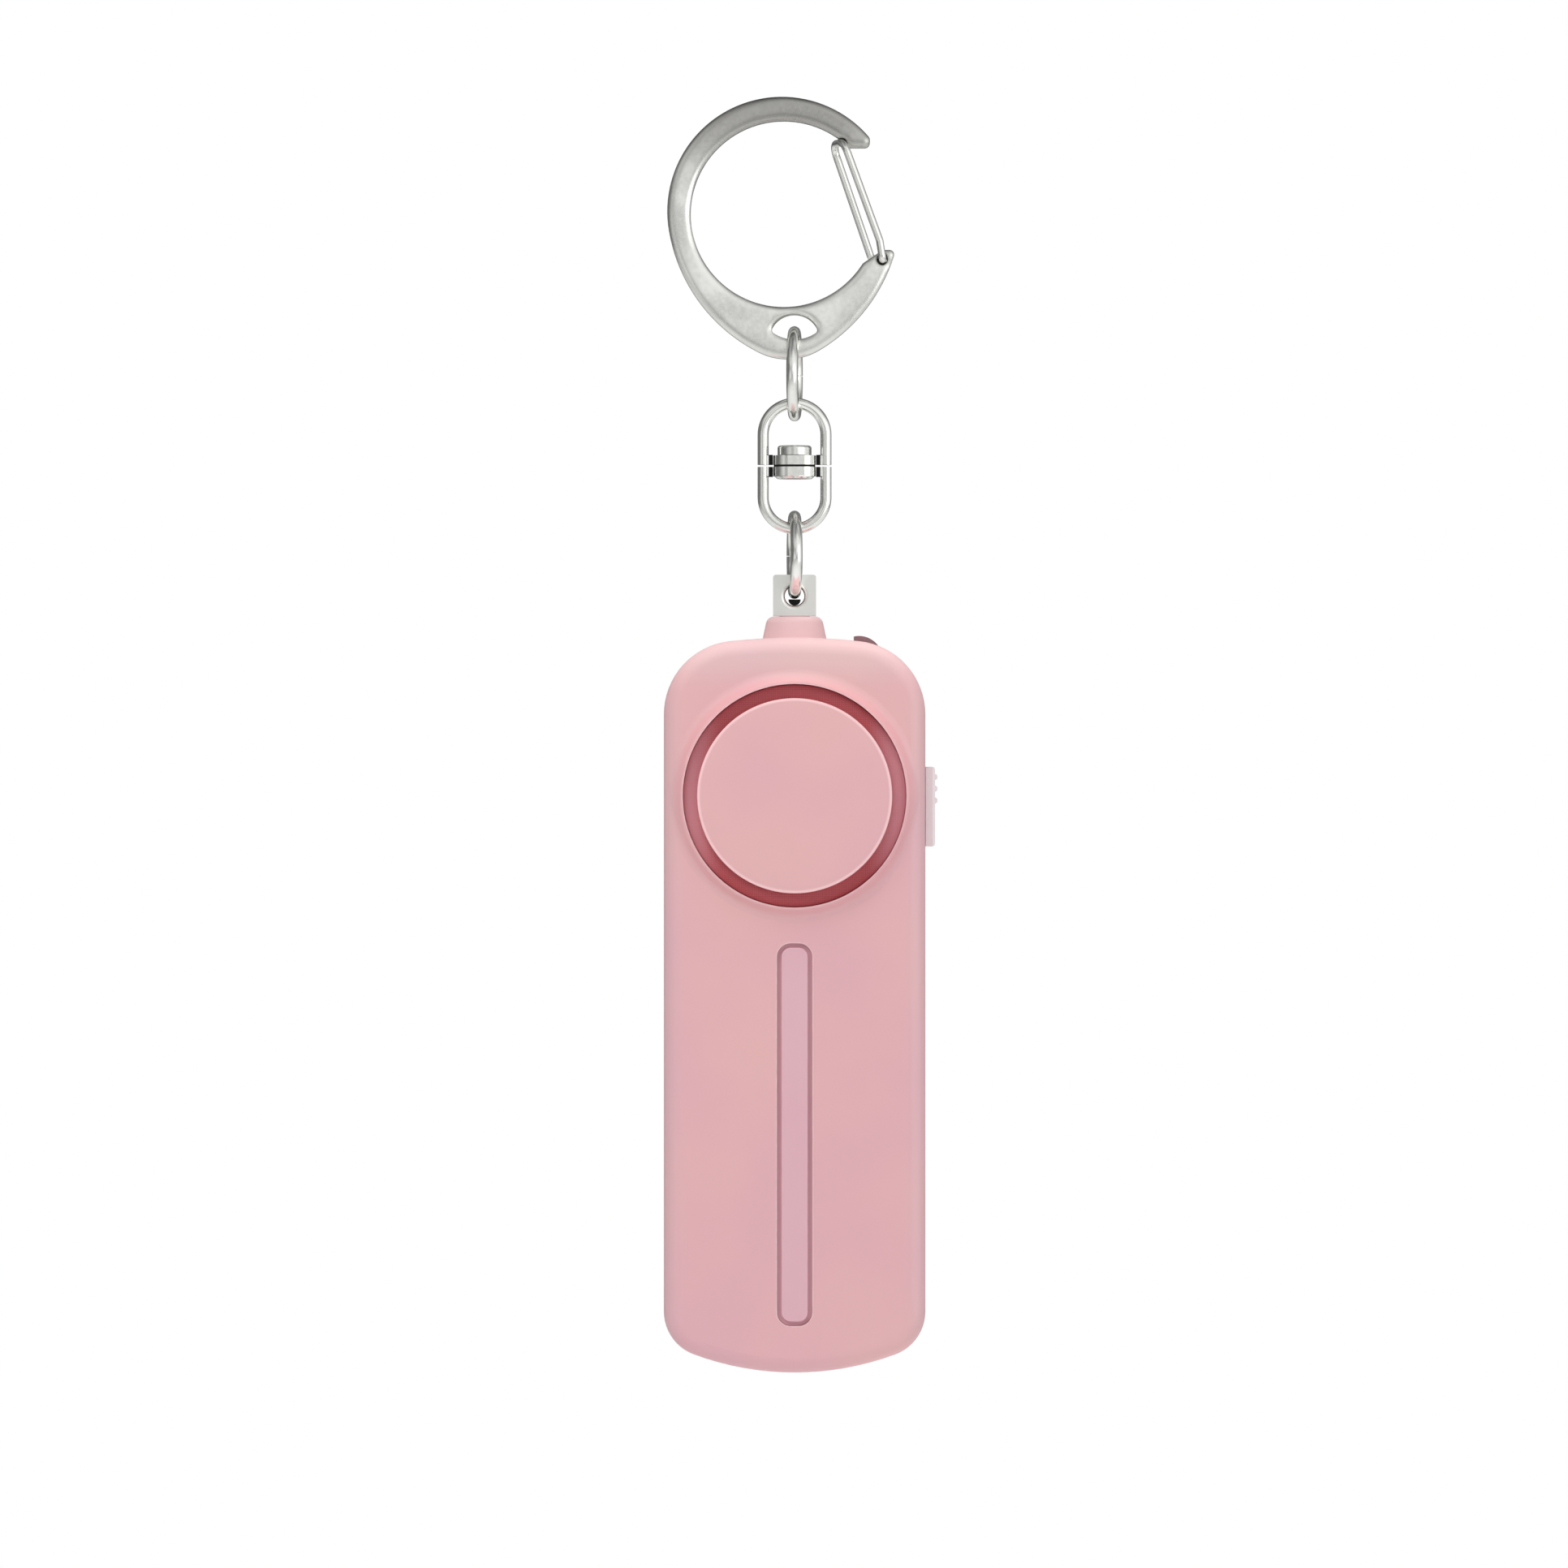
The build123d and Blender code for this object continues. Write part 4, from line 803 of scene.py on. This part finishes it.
# %% [markdown]
# ## Black pieces that paint shade
# A thin black block between the swivel's two plates paints the shade in the gap, which
# shows as a black line between them. It is a cube whose upright edges are rounded.

# %% Painted shade between the plates
upper_floor = node_box("swivel_upper_loop")[0].z
lower_roof = node_box("swivel_lower_loop")[1].z
half_x = node_box("swivel_rivet")[1].x * 1.06           # just wider than the rivet
half_y = node_box("swivel_upper_loop")[1].y * 0.97      # just inside the plates
thickness = (upper_floor - lower_roof) * 0.9            # most of the gap between them
corner_r = half_y * 0.9
shape = bmesh.new()
bmesh.ops.create_cube(shape, size=1)
bmesh.ops.scale(shape, verts=shape.verts, vec=(half_x * 2, half_y * 2, thickness))
upright = [edge for edge in shape.edges
           if abs((edge.verts[0].co - edge.verts[1].co).normalized().z) > 0.9]
bmesh.ops.bevel(shape, geom=upright, offset=corner_r, segments=10, profile=0.5,
                affect="EDGES", material=-1)
bmesh.ops.translate(shape, verts=shape.verts, vec=(0, 0, (upper_floor + lower_roof) / 2))
# Painted shade: a black block in the gap between the plates.
settle(shape, "swivel_gap_shade", "swivel_lower", "black_plastic", material="painted_shade_black")

# %% [markdown]
# A short black block fills the slot between each end of a plate and the wire beside it,
# as painted shade, so the plates look cut free from the loops. It is a little narrower
# than the slot and a little taller than the plate.

# %% Painted shade in the slots
LOOP_WIRE, SLOT, NECK, PLATE_T = 1.3 * MM, 0.5 * MM, 1.12 * MM, 1.1 * MM
slot_shade_w, slot_shade_h = SLOT * 0.96, PLATE_T * 1.06
slot_x = node_box("swivel_upper_loop")[1].x - LOOP_WIRE - SLOT / 2
for node, body, edge_z, way in (("swivel_upper_loop", "swivel_upper", upper_floor, 1),
                                ("swivel_lower_loop", "swivel_lower", lower_roof, -1)):
    shape = bmesh.new()
    for side in (-1, 1):
        made = bmesh.ops.create_cube(shape, size=1)["verts"]
        bmesh.ops.scale(shape, verts=made, vec=(slot_shade_w, NECK, slot_shade_h))
        bmesh.ops.translate(shape, verts=made,
                            vec=(side * slot_x, 0, edge_z + way * slot_shade_h / 2))
    # Painted shade: black blocks in the slots beside the plates.
    settle(shape, node.replace("loop", "slot_shade"), body, "black_plastic",
           material="painted_shade_black")

# %% [markdown]
# A small black plug on the floor of the hole in the pull tab, below the ring, paints the
# ring's shadow there. It is a disc with rounded edges that is cut level just under the
# wire, and the cut is closed again.

# %% Painted shadow in the pull tab
HOLE_R, WEB = 1.15, 1.35                        # the hole, and the metal above it
SHADOW_PLUG_R, HALF_T, EDGE_R = 0.72, 0.4, 0.1
LIFT, CLEARANCE = 0.02, 0.06                    # off the hole's floor, and off the ring
hole_floor = node_box("pin_tab")[1].z - (WEB + HOLE_R * 2) * MM
cut_z = node_box("lower_link_ring")[0].z - CLEARANCE * MM
shape = bmesh.new()
lathe(shape, [(0, -HALF_T)]
      + arc(SHADOW_PLUG_R - EDGE_R, EDGE_R - HALF_T, EDGE_R, -90, 0, steps=3)
      + arc(SHADOW_PLUG_R - EDGE_R, HALF_T - EDGE_R, EDGE_R, 0, 90, steps=3) + [(0, HALF_T)],
      (0, 1, 0), (0, 0, hole_floor + (SHADOW_PLUG_R + LIFT) * MM), steps=64)
bmesh.ops.remove_doubles(shape, verts=shape.verts, dist=WELD)
cut = bmesh.ops.bisect_plane(shape, geom=everything(shape), plane_co=(0, 0, cut_z),
                             plane_no=(0, 0, 1), clear_outer=True)
edges_cut = [thing for thing in cut["geom_cut"] if isinstance(thing, bmesh.types.BMEdge)]
bmesh.ops.holes_fill(shape, edges=edges_cut)
# Painted shadow: the black plug stands for the ring's shadow in the hole.
settle(shape, "ring_shadow_plug", "pull_pin", "black_plastic", material="painted_shade_black")

# %% [markdown]
# ## Battery cells
# A cell is a steel can with a rolled shoulder and a small button, in a plain sleeve that
# is shrunk over both ends. Can and sleeve are two turned pieces, one just outside the
# other.

# %% Battery cells
SLEEVE, SHOULDER = 0.06, 0.55                       # film thickness, shoulder radius
BUTTON_R, BUTTON_H, BUTTON_EDGE = 1.9, 0.8, 0.25
DIMPLE, GROOVE = 0.15, 0.2                          # depths in the minus and plus ends
FLOOR_LIP, ROOF_LIP = 0.9, 0.7                      # how far the film reaches over the ends


def battery_cell(node, way):
    """A can and its sleeve. way is +1 where the cell's plus end is up."""
    low, high, middle = node_box(node)
    radius, length = (high.x - low.x) / 2 / MM, (high.z - low.z) / MM
    half, can_r = length / 2, radius - SLEEVE
    top = half - BUTTON_H
    can = ([(0, -half + DIMPLE), (can_r * 0.6, -half + DIMPLE), (can_r * 0.7, -half)]
           + arc(can_r - SHOULDER, -half + SHOULDER, SHOULDER, -90, 0)
           + arc(can_r - SHOULDER, top - SHOULDER, SHOULDER, 0, 90)
           + [(can_r * 0.62, top), (can_r * 0.58, top - GROOVE),
              (BUTTON_R + 0.5, top - GROOVE), (BUTTON_R, top)]
           + arc(BUTTON_R - BUTTON_EDGE, half - BUTTON_EDGE, BUTTON_EDGE, 0, 90, steps=4)
           + [(0, half)])
    shape = bmesh.new()
    lathe(shape, can, (0, 0, way), middle, steps=72)
    settle(shape, node + "_can", "housing", "cell_can", nodes=[node])
    lip = radius - SHOULDER
    sleeve = ([(lip - FLOOR_LIP, -half + 0.02), (lip - FLOOR_LIP, -half - 0.04 + SLEEVE)]
              + arc(lip, -half + SHOULDER, SHOULDER, -90, 0)
              + arc(lip, top - SHOULDER, SHOULDER, 0, 90) + [(lip - ROOF_LIP, top)])
    shape = bmesh.new()
    lathe(shape, sleeve, (0, 0, way), middle, steps=72)
    settle(shape, node + "_sleeve", "housing", "cell_can", material="cell_sleeve")


battery_cell("battery_cell_left", 1)
battery_cell("battery_cell_right", -1)

# %% [markdown]
# ## Battery springs
# Each minus contact is a cone of springy wire. The spin operator moves along its axis
# while it turns, which gives a helix of even width. The cone comes afterwards: every
# point is drawn in towards the axis, the more the nearer it is to the tip. Both cones go
# into one mesh, because they are one node of the model.

# %% Battery springs
TURNS, STEPS = 3, 3 * 36
WIRE, ROOT_R, TIP_R = 0.5 * MM, 2.9 * MM, 1.9 * MM
low, high, middle = node_box("battery_springs")
coils = bmesh.new()
for cell, way in (("battery_cell_left", 1), ("battery_cell_right", -1)):
    cell_low, cell_high, cell_middle = node_box(cell)
    axis_x = math.copysign(high.x - ROOT_R, cell_middle.x)
    root, tip = (low.z, cell_low.z) if way > 0 else (high.z, cell_high.z)
    rise = abs(tip - root) - WIRE
    shape = bmesh.new()
    bmesh.ops.create_circle(shape, cap_ends=True, segments=12, radius=WIRE / 2)
    bmesh.ops.rotate(shape, verts=shape.verts, cent=(0, 0, 0),
                     matrix=Matrix.Rotation(math.pi / 2, 3, "X"))
    bmesh.ops.translate(shape, verts=shape.verts, vec=(ROOT_R - WIRE / 2, 0, 0))
    bmesh.ops.spin(shape, geom=everything(shape), cent=(0, 0, 0), axis=(0, 0, 1),
                   dvec=(0, 0, rise / STEPS), angle=math.tau * TURNS, steps=STEPS)
    for vert in shape.verts:
        reach = math.hypot(vert.co.x, vert.co.y)
        drawn = reach - (ROOT_R - TIP_R) * min(max(vert.co.z / rise, 0), 1)
        vert.co.x, vert.co.y = vert.co.x * drawn / reach, vert.co.y * drawn / reach
    if way < 0:
        bmesh.ops.rotate(shape, verts=shape.verts, cent=(0, 0, 0),
                         matrix=Matrix.Rotation(math.pi, 3, "X"))
    bmesh.ops.translate(shape, verts=shape.verts, vec=(axis_x, middle.y, root + way * WIRE / 2))
    wound = bpy.data.meshes.new("wound")
    shape.to_mesh(wound)
    shape.free()
    coils.from_mesh(wound)
    bpy.data.meshes.remove(wound)
settle(coils, "spring_coils", "housing", "inner_steel", nodes=["battery_springs"])

# %% [markdown]
# ## Parts on the board
# The chip's legs are bent strips that run out, down to the board and out again. They are
# small and only seen with the case open, so one plain strip is repeated along the chip.

# %% Chip legs
LEGS, LEG_W, LEG_T = 4, 0.42 * MM, 0.16 * MM
KNEE, HEEL, TOE = 0.45 * MM, 0.6 * MM, 1.1 * MM         # how far out each bend is
low, high, middle = node_box("controller_chip")
foot_y = node_box("circuit_board")[1].y + LEG_T / 2
pitch = (high.x - low.x) / LEGS
shape = bmesh.new()
for side, edge_z in ((-1, low.z), (1, high.z)):
    bends = [(0, middle.y), (KNEE, middle.y), (HEEL, foot_y), (TOE, foot_y)]
    for number in range(LEGS):
        x = low.x + (number + 0.5) * pitch - LEG_W / 2
        verts = [shape.verts.new((x, y, edge_z + side * out)) for out, y in bends]
        strip = [shape.edges.new(pair) for pair in zip(verts, verts[1:])]
        moved = bmesh.ops.extrude_edge_only(shape, edges=strip)["geom"]
        far = [thing for thing in moved if isinstance(thing, bmesh.types.BMVert)]
        bmesh.ops.translate(shape, verts=far, vec=(LEG_W, 0, 0))
bmesh.ops.recalc_face_normals(shape, faces=shape.faces)
bmesh.ops.solidify(shape, geom=shape.faces[:], thickness=LEG_T / 2)
settle(shape, "chip_legs", "housing", "inner_steel")

# %% [markdown]
# The coil carries a winding of enamelled wire. Turns that lie side by side hide their
# slant, so each turn is a plain ring, and the rings cover the middle of the coil.

# %% Coil winding
COVER, COIL_WIRE, LOOSE = 0.6, 0.3, 0.02        # share of the coil, wire, gap to the core
low, high, middle = node_box("boost_coil")
turn_r = (high.x - low.x) / 2 / MM + LOOSE
turns = int((high.y - low.y) / MM * COVER / COIL_WIRE)
shape = bmesh.new()
for turn in range(turns):
    y = middle.y / MM + (turn - (turns - 1) / 2) * COIL_WIRE
    lathe(shape, arc(turn_r, y, COIL_WIRE / 2, -180, 180, steps=10), (0, 1, 0),
          (middle.x, 0, middle.z), steps=40)
settle(shape, "coil_winding", "housing", "brass", material="copper_wire")
